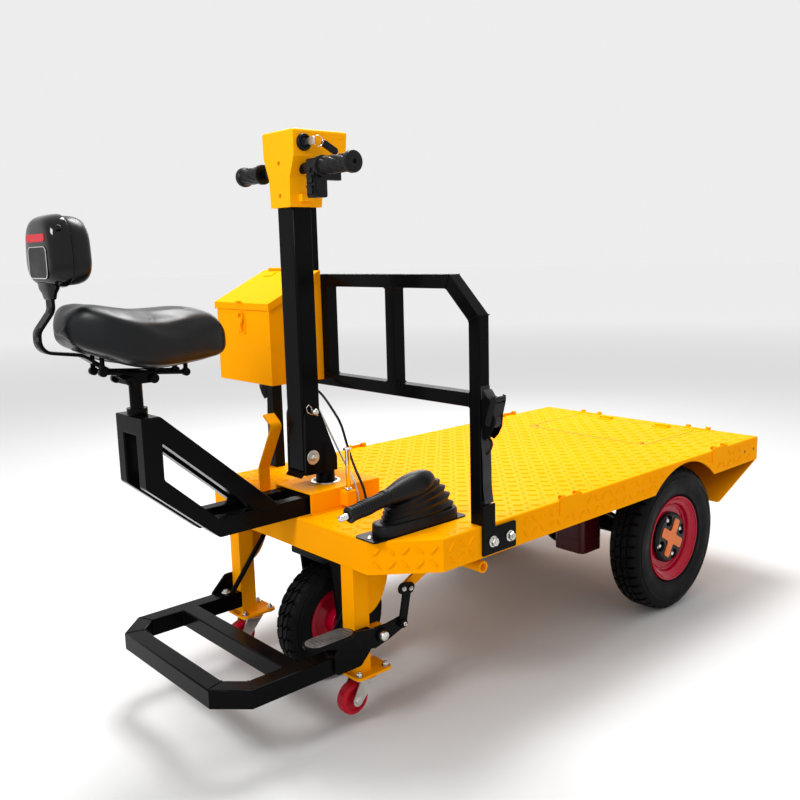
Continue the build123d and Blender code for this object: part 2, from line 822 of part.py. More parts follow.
# Head cover: a moulded box that widens from its neck, with two sunk screws in its front
head_sections = (
    # level above the head's foot, length, width
    (0, head_neck_length, head_neck_width),
    (head_step_low, head_step_length, head_step_width),
    (head_step_high, head_box_length, head_box_width),
    (head_height, head_crest_length, head_crest_width),
)
head_faces = [Pos(head_front + length / 2, 0, head_bottom + level) * Rectangle(length, width)
              for level, length, width in head_sections]
head = loft(head_faces, ruled=True)
head = fillet(head.faces().sort_by(Axis.Z)[-1].edges(), head_edge)
head -= rod((bar_x, -bar_right, bar_z), (bar_x, bar_left, bar_z), bar_diameter + 2 * touch)
for level in screw_levels:
    z = head_bottom + level
    head -= rod((head_front, 0, z), (head_front + screw_depth, 0, z), screw_hole)
save("head_cover", head)

# Handlebar with grips, switch block and key switch
save("handlebar", rod((bar_x, -bar_right, bar_z), (bar_x, bar_left, bar_z), bar_diameter))
grip_bore = bar_diameter + 2 * touch
grips = []
for side, bar_end in ((-1, bar_right), (1, bar_left)):
    flange_start = bar_end - grip_flange_length
    collar_end = grip_start + grip_collar_length
    grip = rod((bar_x, side * grip_start, bar_z), (bar_x, side * bar_end, bar_z), grip_diameter)
    grip += rod((bar_x, side * flange_start, bar_z), (bar_x, side * (bar_end + grip_cap), bar_z), grip_flange)
    grip += rod((bar_x, side * grip_start, bar_z), (bar_x, side * collar_end, bar_z), grip_collar)
    grip -= rod((bar_x, 0, bar_z), (bar_x, side * (bar_end + touch), bar_z), grip_bore)
    grips.append(grip)
save("grips", *grips)
switch_y = switch_inset - grip_start
switch = block((bar_x - switch_length / 2, bar_x + switch_length / 2), (switch_y, switch_y + switch_width),
               (bar_z - switch_drop, bar_z + switch_rise))
switch = fillet(switch.edges().filter_by(Axis.Y), switch_edge)
switch += block((bar_x + switch_length / 2, bar_x + switch_length / 2 + throttle_length),
                (switch_y, switch_y + throttle_width),
                (bar_z - throttle_drop, bar_z - throttle_drop + throttle_height))
switch -= rod((bar_x, switch_y, bar_z), (bar_x, switch_y + switch_width, bar_z), grip_bore)
save("switch_block", switch)
key_z = head_top - key_drop
key_x = bar_x - key_shift
key_y = key_sink - head_crest_width / 2
key_end = key_y - key_ring_length
key = rod((key_x, key_y, key_z), (key_x, key_end, key_z), key_ring)
key += block((key_x - key_width / 2, key_x + key_width / 2), (key_end - key_length, key_y),
             (key_z - key_blade / 2, key_z + key_blade / 2))
save("key_switch", key - head)

# Rear axle with its drive motor, on two leaf springs
tube_end = wheel_y - axle_tube_end
stub_end = rear_tyre_outer - rim_dish + axle_stub
axle = rod((axle_x, -tube_end, rear_axle_z), (axle_x, tube_end, rear_axle_z), axle_tube)
axle += rod((axle_x, -motor_width / 2, rear_axle_z), (axle_x, motor_width / 2, rear_axle_z), motor_diameter)
axle += rod((axle_x, -motor_flange_width / 2, rear_axle_z), (axle_x, motor_flange_width / 2, rear_axle_z),
            motor_flange)
axle += rod((axle_x, -stub_end, rear_axle_z), (axle_x, stub_end, rear_axle_z), axle_diameter)
save("rear_axle", axle)
springs = []
spring_low = rear_axle_z + axle_tube / 2
spring_top = spring_low + spring_pack
eye_z = rail_bottom - spring_eye_drop
spring_rise = eye_z + spring_leaf / 2 - spring_top
for side in (-1, 1):
    low, high = side * rail_middle - spring_width / 2, side * rail_middle + spring_width / 2
    spring = block((axle_x - spring_saddle / 2, axle_x + spring_saddle / 2), (low, high),
                   (spring_low - spring_saddle_drop, spring_top))
    for count, share in enumerate(spring_shares):
        reach = share * spring_half
        rise = spring_rise * share ** 2
        top = spring_top - count * spring_leaf
        base = top - spring_leaf
        lower = ThreePointArc((axle_x - reach, base + rise), (axle_x, base), (axle_x + reach, base + rise))
        upper = ThreePointArc((axle_x + reach, top + rise), (axle_x, top), (axle_x - reach, top + rise))
        leaf = make_face([lower, Line(lower @ 1, upper @ 0), upper, Line(upper @ 1, lower @ 0)])
        spring += side_plate(leaf, low, high)
    for end in (-1, 1):
        x = axle_x + end * spring_half
        spring += rod((x, low, eye_z), (x, high, eye_z), spring_eye)
        spring += block((x - spring_hanger / 2, x + spring_hanger / 2), (low, high), (eye_z, rail_bottom))
    spring -= rod((axle_x, low, rear_axle_z), (axle_x, high, rear_axle_z), axle_tube)
    springs.append(spring)
save("leaf_springs", *springs)

# Rear wheels: tyre, deep-dished rim, and a hub cap with bolt pockets and a cross-shaped insert
t, w = rear_bead_diameter / 2, rear_tyre_width / 2
disc = w - rim_dish
bead_w = bead_share * w
bore, hub = axle_diameter / 2 + bearing_gap, rim_hub_diameter / 2
barrel = t - rim_lip
ledge = barrel - rim_step
rim_profile = [
    (bore, -bead_w), (hub, -bead_w), (hub, disc - rim_sheet), (ledge - rim_step, disc - rim_sheet),
    (barrel - rim_sheet, -bead_w), (t, -bead_w), (t, bead_w), (t - rim_lip / 3, bead_w + rim_lip / 3),
    (barrel, bead_w - rim_lip / 3), (barrel - rim_step / 4, disc + 1.5 * rim_step),
    (ledge, disc + 1.2 * rim_step), (ledge - rim_step / 3, disc + rim_step / 5), (ledge - rim_step, disc),
    (bore, disc),
]
cross = Rectangle(insert_span, insert_arm) + Rectangle(insert_arm, insert_span)
cross = fillet(cross.vertices(), insert_corner)
cross = Pos(axle_x, rear_axle_z) * Rot(0, 0, 45 + cap_turn) * cross
for side, name in ((-1, "right"), (1, "left")):
    y = side * wheel_y
    save(f"rear_tyre_{name}", wheel(tyre_face(rear_tyre_diameter, rear_bead_diameter, rear_tyre_width),
                                    axle_x, y, rear_axle_z))
    turned = outline([(radius, side * along) for radius, along in rim_profile])
    save(f"rear_rim_{name}", wheel(turned, axle_x, y, rear_axle_z))
    cap_y = y + side * disc
    cap_end = cap_y + side * cap_depth
    pocket_y = cap_y + side * cap_pocket_floor
    cap = rod((axle_x, cap_y, rear_axle_z), (axle_x, cap_end, rear_axle_z), cap_diameter)
    rings = cap.edges().filter_by(GeomType.CIRCLE).sort_by(Axis.Y)
    cap = chamfer(rings[-1] if side > 0 else rings[0], cap_bevel)
    cap -= rod((axle_x, cap_y, rear_axle_z), (axle_x, cap_y + side * (axle_stub + touch), rear_axle_z),
               axle_diameter + 2 * shaft_hole_gap)
    for quarter in range(4):
        angle = math.radians(90 * quarter + cap_turn)
        x = axle_x + cap_pocket_circle / 2 * math.cos(angle)
        z = rear_axle_z + cap_pocket_circle / 2 * math.sin(angle)
        cap -= rod((x, pocket_y, z), (x, cap_end, z), cap_pocket)
    save(f"hub_cap_{name}", cap)
    save(f"hub_insert_{name}", side_plate(cross, *sorted((cap_end, cap_end + side * insert_rise))))

# Guard: square tube frame across the deck with two inner posts, and its bolted brackets
guard_back = guard_x + guard_tube
post_in, post_out = guard_post - guard_tube / 2, guard_post + guard_tube / 2
rail_low, rail_high = guard_rail - guard_tube / 2, guard_rail + guard_tube / 2
beam_low = guard_top - guard_tube
leg_line = half - guard_tube
bevel = guard_tube * math.tan(math.radians(22.5))
guard = front_plate([(-half, deck_top), (-half, guard_top - guard_corner), (-half + guard_corner, guard_top),
                     (half - guard_corner, guard_top), (half, guard_top - guard_corner), (half, deck_top)],
                    guard_x, guard_back)
guard -= front_plate([(-leg_line, deck_top), (-leg_line, rail_low), (leg_line, rail_low), (leg_line, deck_top)],
                     guard_x, guard_back)
guard -= front_plate([(-post_in, rail_high), (-post_in, beam_low), (post_in, beam_low), (post_in, rail_high)],
                     guard_x, guard_back)
bracket_low, bracket_high = skirt_bottom + bracket_foot, deck_top - bracket_step
bracket_face = outline([(guard_x, bracket_low), (guard_x + bracket_length, bracket_low),
                        (guard_x + bracket_length, bracket_high), (guard_x + bracket_strip, bracket_high),
                        (guard_x + bracket_strip, deck_top + bracket_rise), (guard_x, deck_top + bracket_rise)])
for side in (-1, 1):
    guard -= front_plate([(side * post_out, rail_high), (side * post_out, beam_low),
                          (side * (half - guard_corner - bevel), beam_low),
                          (side * leg_line, guard_top - guard_corner - bevel),
                          (side * leg_line, rail_high)], guard_x, guard_back)
    guard += side_plate(bracket_face, *span(side, half, half + bracket_plate))
save("guard_frame", guard)

# Ratchet straps stowed on the guard's legs
straps = []
strap_x = guard_x + guard_tube / 2
for side in (-1, 1):
    strap = block((strap_x - strap_width / 2, strap_x + strap_width / 2),
                  span(side, half, half + strap_thickness), (deck_top + strap_start, guard_rail + strap_above))
    strap += block((strap_x - ratchet_width / 2, strap_x + ratchet_width / 2),
                   span(side, half, half + ratchet_depth),
                   (guard_rail + ratchet_rise - ratchet_height, guard_rail + ratchet_rise))
    straps.append(strap)
save("strap_ratchets", *straps)

# Toolbox on the guard, open at the top, with a sloped lid hinged at the back
toolbox_front = guard_x - toolbox_depth
y0, y1 = toolbox_inner, toolbox_inner + toolbox_width
front_z, back_z = toolbox_floor + toolbox_front_height, toolbox_floor + toolbox_back_height
wall_x0, wall_x1 = toolbox_front + toolbox_wall, guard_x - toolbox_wall
toolbox = side_plate(outline([(toolbox_front, toolbox_floor), (guard_x, toolbox_floor), (guard_x, back_z),
                              (toolbox_front, front_z)]), y0, y1)
toolbox -= block((wall_x0, wall_x1), (y0 + toolbox_wall, y1 - toolbox_wall),
                 (toolbox_floor + toolbox_wall, back_z))
save("toolbox", toolbox)
lid_rise = lid_gap + lid_plate
lid_front, lid_end, flange_end = toolbox_front - lid_rise, guard_x - lid_back, guard_x - lid_side_back


def rim_level(x):
    """Height of the toolbox's sloped rim at x."""
    return front_z + (back_z - front_z) * (x - toolbox_front) / toolbox_depth


lid_face = outline([(lid_front, rim_level(lid_front) + lid_gap), (lid_end, rim_level(lid_end) + lid_gap),
                    (lid_end, rim_level(lid_end) + lid_rise), (lid_front, rim_level(lid_front) + lid_rise)])
flange_face = outline([(lid_front, rim_level(lid_front) - lid_lip),
                       (flange_end, rim_level(flange_end) - lid_lip),
                       (flange_end, rim_level(flange_end) + lid_rise),
                       (lid_front, rim_level(lid_front) + lid_rise)])
lid = side_plate(lid_face, y0 - lid_rise, y1 + lid_rise)
lid += block((lid_front, lid_front + lid_plate), (y0 - lid_rise, y1 + lid_rise), (front_z - lid_lip, front_z))
lid += side_plate(flange_face, y0 - lid_rise, y0 - lid_gap)
lid += side_plate(flange_face, y1 + lid_gap, y1 + lid_rise)
lid_axis_x = guard_x - lid_barrel / 2
lid_axis_z = back_z + lid_barrel / 2 + touch
lid += rod((lid_axis_x, y0 + lid_barrel_inset, lid_axis_z), (lid_axis_x, y1 - lid_barrel_inset, lid_axis_z),
           lid_barrel)
save("toolbox_lid", lid)

# Seat frame: two triangulated side frames slid into the steering box, joined by cross tubes
base_top = deck_top + seat_tube
slope_top = deck_top + slope_height
brace_top = seat_tube - seat_back
brace_foot = brace_top + brace_run
lean = math.atan2(seat_frame_top - base_top, brace_run)
drop = seat_tube / math.cos(lean)
inner_foot = brace_foot - drop / math.tan(lean)
panel = outline([(-seat_back, seat_frame_top), (brace_top, seat_frame_top), (brace_foot, base_top),
                 (seat_base_end, base_top), (seat_base_end, deck_top), (-slope_foot, deck_top),
                 (-seat_back, slope_top)])
panel -= outline([(brace_top, seat_frame_top - drop), (inner_foot, base_top), (-slope_foot, base_top),
                  (brace_top, slope_top + slope_wall)])
tie = seat_half - seat_side
tie_x = box_start + seat_base_tie_inset
seat_frame = side_plate(panel, -seat_half, -tie) + side_plate(panel, tie, seat_half)
seat_frame += block((-seat_back, brace_top), (-tie, tie), (seat_frame_top - seat_tie, seat_frame_top))
seat_frame += block((tie_x, tie_x + seat_base_tie), (-tie, tie), (deck_top, base_top))
save("seat_frame", seat_frame)

# Saddle: its plan outline crossed with its side profile, upper edge rounded
saddle_length = saddle_shape[-1][0]
saddle_under = [(along - saddle_rear, saddle_floor + under) for along, under, top in saddle_shape]
saddle_over = [(along - saddle_rear, saddle_floor + top) for along, under, top in saddle_shape]
profile = make_face([Polyline(*saddle_under), Line(saddle_under[-1], saddle_over[-1]),
                     Spline(*reversed(saddle_over)), Line(saddle_over[0], saddle_under[0])])
nose_x = saddle_length - saddle_rear
saddle_plan = make_face(make_hull(
    circle_edges(saddle_rear_radius - saddle_rear, 0, saddle_rear_radius)
    + circle_edges(nose_x - saddle_nose_radius, 0, saddle_nose_radius)))
saddle = extrude(Pos(0, 0, saddle_floor) * saddle_plan, 2 * saddle_rear_radius)
saddle &= side_plate(profile, -saddle_rear_radius, saddle_rear_radius)
save("saddle", saddle)


def under_saddle(x):
    """Lowest height of the saddle's underside over a rail's end at x."""
    heights = []
    for edge in (x - saddle_rail / 2, x + saddle_rail / 2):
        for (xa, za), (xb, zb) in zip(saddle_under, saddle_under[1:]):
            if xa <= edge <= xb:
                heights.append(za + (zb - za) * (edge - xa) / (xb - xa))
    return min(heights) - touch


# Seat post with the saddle's clamp and rails
post = rod((post_x, 0, seat_frame_top), (post_x, 0, post_top), post_diameter)
post += rod((post_x, 0, seat_frame_top), (post_x, 0, seat_frame_top + post_collar_height), post_collar)
post += block((post_x - clamp_length / 2, post_x + clamp_length / 2), (-clamp_width / 2, clamp_width / 2),
              (post_top, post_top + clamp_height))
rail_z = post_top + saddle_rail_lift
rail_ends = ((post_x - saddle_rail_back, rail_z + saddle_rail_fall / 2),
             (post_x + saddle_rail_front, rail_z - saddle_rail_fall / 2))
for y in (-saddle_rail_y, saddle_rail_y):
    (rear_x, rear_z), (front_x, front_end_z) = rail_ends
    post += rod((rear_x, y, rear_z), (front_x, y, front_end_z), saddle_rail)
    for x, z in rail_ends:
        post += rod((x, y, z - saddle_rail / 2), (x, y, under_saddle(x)), saddle_rail)
save("seat_post", post)

# Backrest: gloss shell with a neck, leather pad and the bent flat bar that carries them
rest_half = backrest_width / 2
rest_top = backrest_floor + backrest_height
shell_front = backrest_shell - backrest_back
shell = block((-backrest_back, shell_front), (-rest_half, rest_half), (backrest_floor, rest_top))
shell = fillet(shell.edges().filter_by(Axis.X), backrest_corner)
shell = fillet(shell.faces().sort_by(Axis.X)[0].edges(), backrest_edge)
neck_x = backrest_shell / 2 - backrest_back
neck_low = backrest_floor - neck_height
shell += block((neck_x - neck_depth / 2, neck_x + neck_depth / 2), (-neck_width / 2, neck_width / 2),
               (neck_low, backrest_floor + neck_height))
save("backrest_shell", shell)
pad_half = rest_half - pad_inset
pad = block((shell_front + touch, shell_front + backrest_pad), (-pad_half, pad_half),
            (backrest_floor + pad_inset, rest_top - pad_inset))
pad = fillet(pad.edges().filter_by(Axis.X), backrest_corner)
pad = fillet(pad.faces().sort_by(Axis.X)[-1].edges(), pad_edge)
save("backrest_pad", pad)
bar_line_x = strip / 2 - bar_back
bends = [(x, saddle_floor + level)
         for x, level in zip((bar_run - bar_back, bar_line_x, bar_line_x, neck_x), bar_levels)]
bar_foot = (post_x - clamp_length / 2, post_top + clamp_height / 2)
bar_line = FilletPolyline(bar_foot, *bends, (neck_x, neck_low), radius=strip_bend)
bracket_bar = extrude(Plane.XZ * trace(bar_line, strip), strip_width / 2, both=True)
bracket_bar &= block((-bar_back, bar_foot[0]), (-strip_width, strip_width), (post_top, neck_low))
save("backrest_bracket", bracket_bar)

# Foot brake: pedal lever on the right leg, upright link, and the cross shaft with its crank arm
lever_low = [(pedal_x + along, pedal_z + low) for along, low, high in lever_shape]
lever_high = [(pedal_x + along, pedal_z + high) for along, low, high in lever_shape]
pedal = side_plate(outline(lever_low + lever_high[::-1]), lever_y - lever_plate, lever_y)
pedal += extrude(Pos(pedal_x - pedal_shift, lever_y - lever_plate / 2, lever_high[0][1])
                 * SlotOverall(pedal_length, pedal_width), pedal_plate)
pin_end_y = lever_y - lever_plate - pedal_pin_end
pedal += rod((pedal_x, -leg_outer, pedal_z), (pedal_x, pin_end_y, pedal_z), pedal_pin)
save("brake_pedal", pedal)
crank_x, crank_z = cross_shaft_x - crank_reach, shaft_z - crank_drop
link_end = link_width / 2
link = make_face(make_hull(circle_edges(pedal_x + link_foot, pedal_z + link_end, link_end)
                           + circle_edges(crank_x, crank_z, link_end)))
save("brake_link", side_plate(link, lever_y - 2 * lever_plate, lever_y - lever_plate))
crank = make_face(make_hull(circle_edges(crank_x, crank_z, crank_end)
                            + circle_edges(cross_shaft_x, shaft_z, cross_shaft_diameter / 2)))
shaft_half = half - cross_shaft_inset
cross_shaft = rod((cross_shaft_x, -shaft_half, shaft_z), (cross_shaft_x, shaft_half, shaft_z),
                  cross_shaft_diameter)
cross_shaft += side_plate(crank, lever_y - lever_plate, lever_y)
for y in (-rail_middle, rail_middle):
    cross_shaft += block((cross_shaft_x - shaft_hanger / 2, cross_shaft_x + shaft_hanger / 2),
                         (y - shaft_hanger_width / 2, y + shaft_hanger_width / 2), (shaft_z, rail_bottom))
cross_shaft -= rod((cross_shaft_x, -half, shaft_z), (cross_shaft_x, half, shaft_z), cross_shaft_bore)
save("cross_shaft", cross_shaft)

# Hand brake: base plate on the deck, lever with a push button, and a bellows boot fanned open
base_face = RectangleRounded(brake_base_length, brake_base_width, brake_base_corner)
base_middle = Pos(brake_base_front + brake_base_length / 2, brake_y, deck_top)
save("handbrake_base", extrude(base_middle * base_face, brake_base_plate))


def on_lever(x):
    """Point on the hand brake lever's axis at x."""
    return (x, brake_y, deck_top + lever_axis_lift - lever_fall * (lever_high_x - x))


lever = rod(on_lever(lever_high_x), on_lever(lever_grip_x), lever_diameter)
lever += rod(on_lever(lever_grip_x), on_lever(lever_tip_x), lever_grip)
lever += rod(on_lever(lever_tip_x), on_lever(lever_button_x), lever_button)
save("handbrake_lever", lever)
boot_floor = deck_top + brake_base_plate
boot = extrude(Pos(boot_front + boot_length / 2, brake_y, boot_floor) * SlotOverall(boot_length, boot_width),
               boot_wall_height)
core = []
for front, back, front_level, back_level, width, thickness in boot_folds:
    rise = back_level - front_level
    length = math.hypot(back - front, rise)
    middle = Location(((front + back) / 2, brake_y, deck_top + (front_level + back_level) / 2),
                      (0, -math.degrees(math.atan2(rise, back - front)), 0))
    fold = extrude(SlotOverall(length, width), thickness / 2, both=True)
    boot += middle * fillet(fold.edges().group_by(Axis.Z)[0] + fold.edges().group_by(Axis.Z)[-1], boot_edge)
    core.append(((front + boot_core / 4, deck_top + front_level),
                 (back - boot_core / 2, deck_top + back_level)))
core_line = [start for start, end in core] + [end for start, end in reversed(core)]
boot += side_plate(outline(core_line), brake_y - boot_core / 2, brake_y + boot_core / 2)
boot += rod(on_lever(sleeve_back), on_lever(lever_grip_x + touch), sleeve_diameter)
boot += Pos(*on_lever(sleeve_back)) * Sphere(sleeve_diameter / 2)
boot -= rod(on_lever(lever_high_x + touch), on_lever(lever_grip_x), lever_diameter + 2 * touch)
boot -= rod(on_lever(lever_grip_x + touch), on_lever(lever_tip_x), lever_grip + 2 * touch)
save("handbrake_boot", boot)

# Hinge knuckles for a drop fence: two pairs on each skirt and two on the cargo edge
hinges = []
pipe_z = deck_top + knuckle_diameter / 2
tail_pipe_z = deck_top + tail_knuckle / 2
tail_pipe_x = deck_length - tail_knuckle / 2
tail_leaf_end = tail_pipe_x - tail_knuckle_bore / 2 - touch
leaf_half = knuckle_spread / 2 + hinge_leaf_overhang
tail_half = tail_spread / 2 + knuckle_length / 2
for side in (-1, 1):
    y = side * (half - knuckle_inset)
    for x in (hinge_front, deck_length - hinge_setback):
        hinge = block((x - leaf_half, x + leaf_half), span(side, half, half + hinge_leaf),
                      (deck_top - hinge_leaf_drop, deck_top + hinge_leaf_rise))
        for middle in (x - knuckle_spread / 2, x + knuckle_spread / 2):
            hinge += rod((middle - knuckle_length / 2, y, pipe_z), (middle + knuckle_length / 2, y, pipe_z),
                         knuckle_diameter)
            hinge -= rod((middle - knuckle_length, y, pipe_z), (middle + knuckle_length, y, pipe_z),
                         knuckle_bore)
        hinges.append(hinge)
    y = side * tail_hinge_y
    hinge = block((deck_length - tail_leaf_width, tail_leaf_end), (y - tail_half, y + tail_half),
                  (deck_top, deck_top + tail_leaf))
    for middle in (y - tail_spread / 2, y + tail_spread / 2):
        hinge += rod((tail_pipe_x, middle - knuckle_length / 2, tail_pipe_z),
                     (tail_pipe_x, middle + knuckle_length / 2, tail_pipe_z), tail_knuckle)
        hinge -= rod((tail_pipe_x, middle - knuckle_length, tail_pipe_z),
                     (tail_pipe_x, middle + knuckle_length, tail_pipe_z), tail_knuckle_bore)
    hinges.append(hinge)
save("fence_hinges", *hinges)

# Two cables from the toolbox down to the deck, past the steering box
for name, table, diameter in (("black", black_route, black_cable), ("grey", grey_route, grey_cable)):
    route = [Vector(x, y, deck_top + above) for x, y, above in table]
    radii = []
    for a, b, c in zip(route, route[1:], route[2:]):
        turn = math.radians((b - a).get_angle(c - b))
        radii.append(cable_bend * min((b - a).length, (c - b).length) / math.tan(turn / 2))
    path = FilletPolyline(*route, radius=radii)
    cable = sweep(Plane(origin=path @ 0, z_dir=path % 0) * Circle(diameter / 2), path)
    cable &= block((0, guard_x), (-half, half), (deck_top, toolbox_floor))
    save(f"cable_{name}", cable)

# Motor controller case below the deck
case_end = rear_member + case_overhang
case_side = case_rail_gap - rail_inner
case_top = deck_under - member_height
case = block((case_end - case_length, case_end), (case_side, case_side + case_width),
             (case_top - case_height, case_top))
save("controller_case", fillet(case.edges().filter_by(Axis.Z), case_corner))
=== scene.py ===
import json
import random
from math import atan2, copysign, cos, exp, hypot, pi, radians, sin, sqrt

import bmesh
import bpy
from mathutils import Matrix, Vector


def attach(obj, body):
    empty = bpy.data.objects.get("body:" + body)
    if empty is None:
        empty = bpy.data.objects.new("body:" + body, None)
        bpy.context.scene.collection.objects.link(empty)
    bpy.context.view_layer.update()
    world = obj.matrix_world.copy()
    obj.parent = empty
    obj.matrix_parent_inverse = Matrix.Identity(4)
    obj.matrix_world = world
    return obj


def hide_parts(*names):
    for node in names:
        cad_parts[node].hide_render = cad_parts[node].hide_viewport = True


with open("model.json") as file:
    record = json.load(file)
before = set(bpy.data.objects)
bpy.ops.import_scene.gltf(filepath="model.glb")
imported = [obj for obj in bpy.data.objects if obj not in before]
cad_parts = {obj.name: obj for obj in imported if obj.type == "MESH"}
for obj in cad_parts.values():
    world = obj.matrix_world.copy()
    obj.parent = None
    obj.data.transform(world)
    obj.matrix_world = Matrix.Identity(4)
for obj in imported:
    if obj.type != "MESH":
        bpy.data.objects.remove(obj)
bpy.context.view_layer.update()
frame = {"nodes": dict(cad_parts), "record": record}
nodes = frame["nodes"]
scene = bpy.context.scene
dice = random.Random(11)

# The drawing's x runs from the deck's driver-end edge, in millimetres; the row frame starts mid-length.
MID_X = 467
# Deck: length, half width, heights, cut front corners and half of the edge between them
DECK_LENGTH = 1440
HALF = 395
DECK_TOP = 425
SKIRT_LOW = 355
CUT_X, CUT_Y = 118, 98
NOSE = HALF - CUT_Y
# Axles of the wheels, and the casters' place
REAR_X, REAR_Z = 1030, 200
FRONT_X, FRONT_Z = 124, 140
CASTER_Y = 223
SIDES = ((-1, "right"), (1, "left"))
X, Y, Z = Vector((1, 0, 0)), Vector((0, 1, 0)), Vector((0, 0, 1))
MERGE = 0.00002
SHARP_FROM = radians(38)


def mm(value):
    return value / 1000


def at(x, y, z):
    """Drawing millimetres to row-frame metres."""
    return Vector((mm(x - MID_X), mm(y), mm(z)))


def angles(count, shift=0.0):
    """Even steps once around."""
    return [2 * pi * (step + shift) / count for step in range(count)]


def signed_power(value, power):
    return copysign(abs(value) ** power, value)


def show(name, data):
    """New object in the scene."""
    obj = bpy.data.objects.new(name, data)
    scene.collection.objects.link(obj)
    return obj


# Camera at the photograph's place
def aim_camera():
    yaw, pitch, roll = radians(48.37), radians(9.55), radians(-1.49)
    ahead = Vector((cos(pitch) * cos(yaw), cos(pitch) * sin(yaw), -sin(pitch)))
    right = ahead.cross(Z).normalized()
    up = right.cross(ahead)
    turned_right = cos(roll) * right + sin(roll) * up
    turned_up = cos(roll) * up - sin(roll) * right
    data = bpy.data.cameras.new("camera")
    data.sensor_width = 36
    data.lens = 39.505
    data.clip_end = 50
    camera = show("camera", data)
    axes = Matrix((turned_right, turned_up, -ahead)).transposed()
    camera.matrix_world = Matrix.Translation(at(-1064.69, -1606.41, 995.02)) @ axes.to_4x4()
    scene.camera = camera


aim_camera()


# Soft studio light: a pale room, a large light overhead, and weaker ones at the sides
def area_light(name, place, target, size, watts):
    data = bpy.data.lights.new(name, "AREA")
    data.shape = "RECTANGLE"
    data.size, data.size_y = size
    data.energy = watts
    light = show(name, data)
    light.location = place
    light.rotation_euler = (Vector(target) - Vector(place)).to_track_quat("-Z", "Y").to_euler()


def preset(node, values):
    """Set the node's socket values by name."""
    for socket, value in values.items():
        node.inputs[socket].default_value = value
    return node


world = bpy.data.worlds.new("room")
world.use_nodes = True
preset(world.node_tree.nodes["Background"], {"Color": (1, 1, 1, 1), "Strength": 0.85})
scene.world = world
scene.view_settings.view_transform = "Standard"
area_light("overhead", (0.5, 0.7, 3.2), (0, 0, 0.4), (1.5, 1.2), 128)
area_light("driver_side", (-2.2, -0.4, 1.9), (-0.4, 0, 1.15), (0.5, 0.5), 28)
area_light("far_side", (1.9, 2.2, 2), (0.2, 0, 0.4), (1.6, 0.8), 26)


def floor():
    mesh = bpy.data.meshes.new("floor")
    size = 40
    corners = [(-size, -size, 0), (size, -size, 0), (size, size, 0), (-size, size, 0)]
    mesh.from_pydata(corners, [], [(0, 1, 2, 3)])
    plane = show("floor", mesh)
    paint = bpy.data.materials.new("floor_painted_fade")
    paint.use_nodes = True
    tree = paint.node_tree
    link = tree.links.new
    # Painted light and shade: the floor is grey within 2 m of the cart and pales to near white by 10 m, so
    # the far floor reads as a bright backdrop and the floor around the cart stays darker
    coords = tree.nodes.new("ShaderNodeTexCoord")
    mapping = preset(tree.nodes.new("ShaderNodeMapping"), {"Scale": (0.1, 0.1, 0.1)})
    gradient = tree.nodes.new("ShaderNodeTexGradient")
    gradient.gradient_type = "SPHERICAL"
    ramp = tree.nodes.new("ShaderNodeValToRGB")
    far, near = ramp.color_ramp.elements
    far.color = (0.99, 0.99, 0.99, 1)
    near.color = (0.6, 0.6, 0.6, 1)
    near.position = 0.8
    shader = preset(tree.nodes["Principled BSDF"], {"Roughness": 0.9, "Specular IOR Level": 0.1})
    link(coords.outputs["Object"], mapping.inputs["Vector"])
    link(mapping.outputs["Vector"], gradient.inputs["Vector"])
    link(gradient.outputs["Fac"], ramp.inputs["Fac"])
    link(ramp.outputs["Color"], shader.inputs["Base Color"])
    mesh.materials.append(paint)


floor()


# Materials: each has its own colour drift, gloss drift and fine relief, in object coordinates
GLOSS_DRIFT, GLOSS_SCALE = 0.25, 22
NOISE_RANGE = (0.3, 0.7)
finish = {}


def material(name, colour, rough, metallic=0.0, drift=0.12, drift_scale=4, grain=0.03, grain_scale=240,
             grain_kind="noise", specular=0.5, sheen=0.0):
    paint = bpy.data.materials.new(name)
    paint.use_nodes = True
    tree = paint.node_tree
    link = tree.links.new
    shader = preset(tree.nodes["Principled BSDF"],
                    {"Metallic": metallic, "Specular IOR Level": specular, "Sheen Weight": sheen})
    coords = tree.nodes.new("ShaderNodeTexCoord")

    def texture(kind, **values):
        node = preset(tree.nodes.new(kind), values)
        link(coords.outputs["Object"], node.inputs["Vector"])
        return node

    tint = texture("ShaderNodeTexNoise", Scale=drift_scale, Detail=4)
    ramp = tree.nodes.new("ShaderNodeValToRGB")
    for element, place, share in zip(ramp.color_ramp.elements, NOISE_RANGE, (1 - drift, 1 + drift)):
        element.position = place
        element.color = (*[min(1, c * share) for c in colour], 1)
    link(tint.outputs["Fac"], ramp.inputs["Fac"])
    link(ramp.outputs["Color"], shader.inputs["Base Color"])
    gloss = texture("ShaderNodeTexNoise", Scale=GLOSS_SCALE, Detail=5)
    spread = preset(tree.nodes.new("ShaderNodeMapRange"), {
        "From Min": NOISE_RANGE[0], "From Max": NOISE_RANGE[1],
        "To Min": rough * (1 - GLOSS_DRIFT), "To Max": rough * (1 + GLOSS_DRIFT)})
    link(gloss.outputs["Fac"], spread.inputs["Value"])
    link(spread.outputs["Result"], shader.inputs["Roughness"])
    if grain_kind == "leather":
        cells = texture("ShaderNodeTexVoronoi", Scale=grain_scale)
        cells.feature = "DISTANCE_TO_EDGE"
        height = cells.outputs["Distance"]
    elif grain_kind == "weave":
        wave = texture("ShaderNodeTexWave", Scale=grain_scale, Distortion=0.6)
        wave.bands_direction = "DIAGONAL"
        height = wave.outputs["Fac"]
    else:
        height = texture("ShaderNodeTexNoise", Scale=grain_scale, Detail=3).outputs["Fac"]
    bump = preset(tree.nodes.new("ShaderNodeBump"), {"Strength": grain, "Distance": 0.002})
    link(height, bump.inputs["Height"])
    link(bump.outputs["Normal"], shader.inputs["Normal"])
    finish[name] = paint


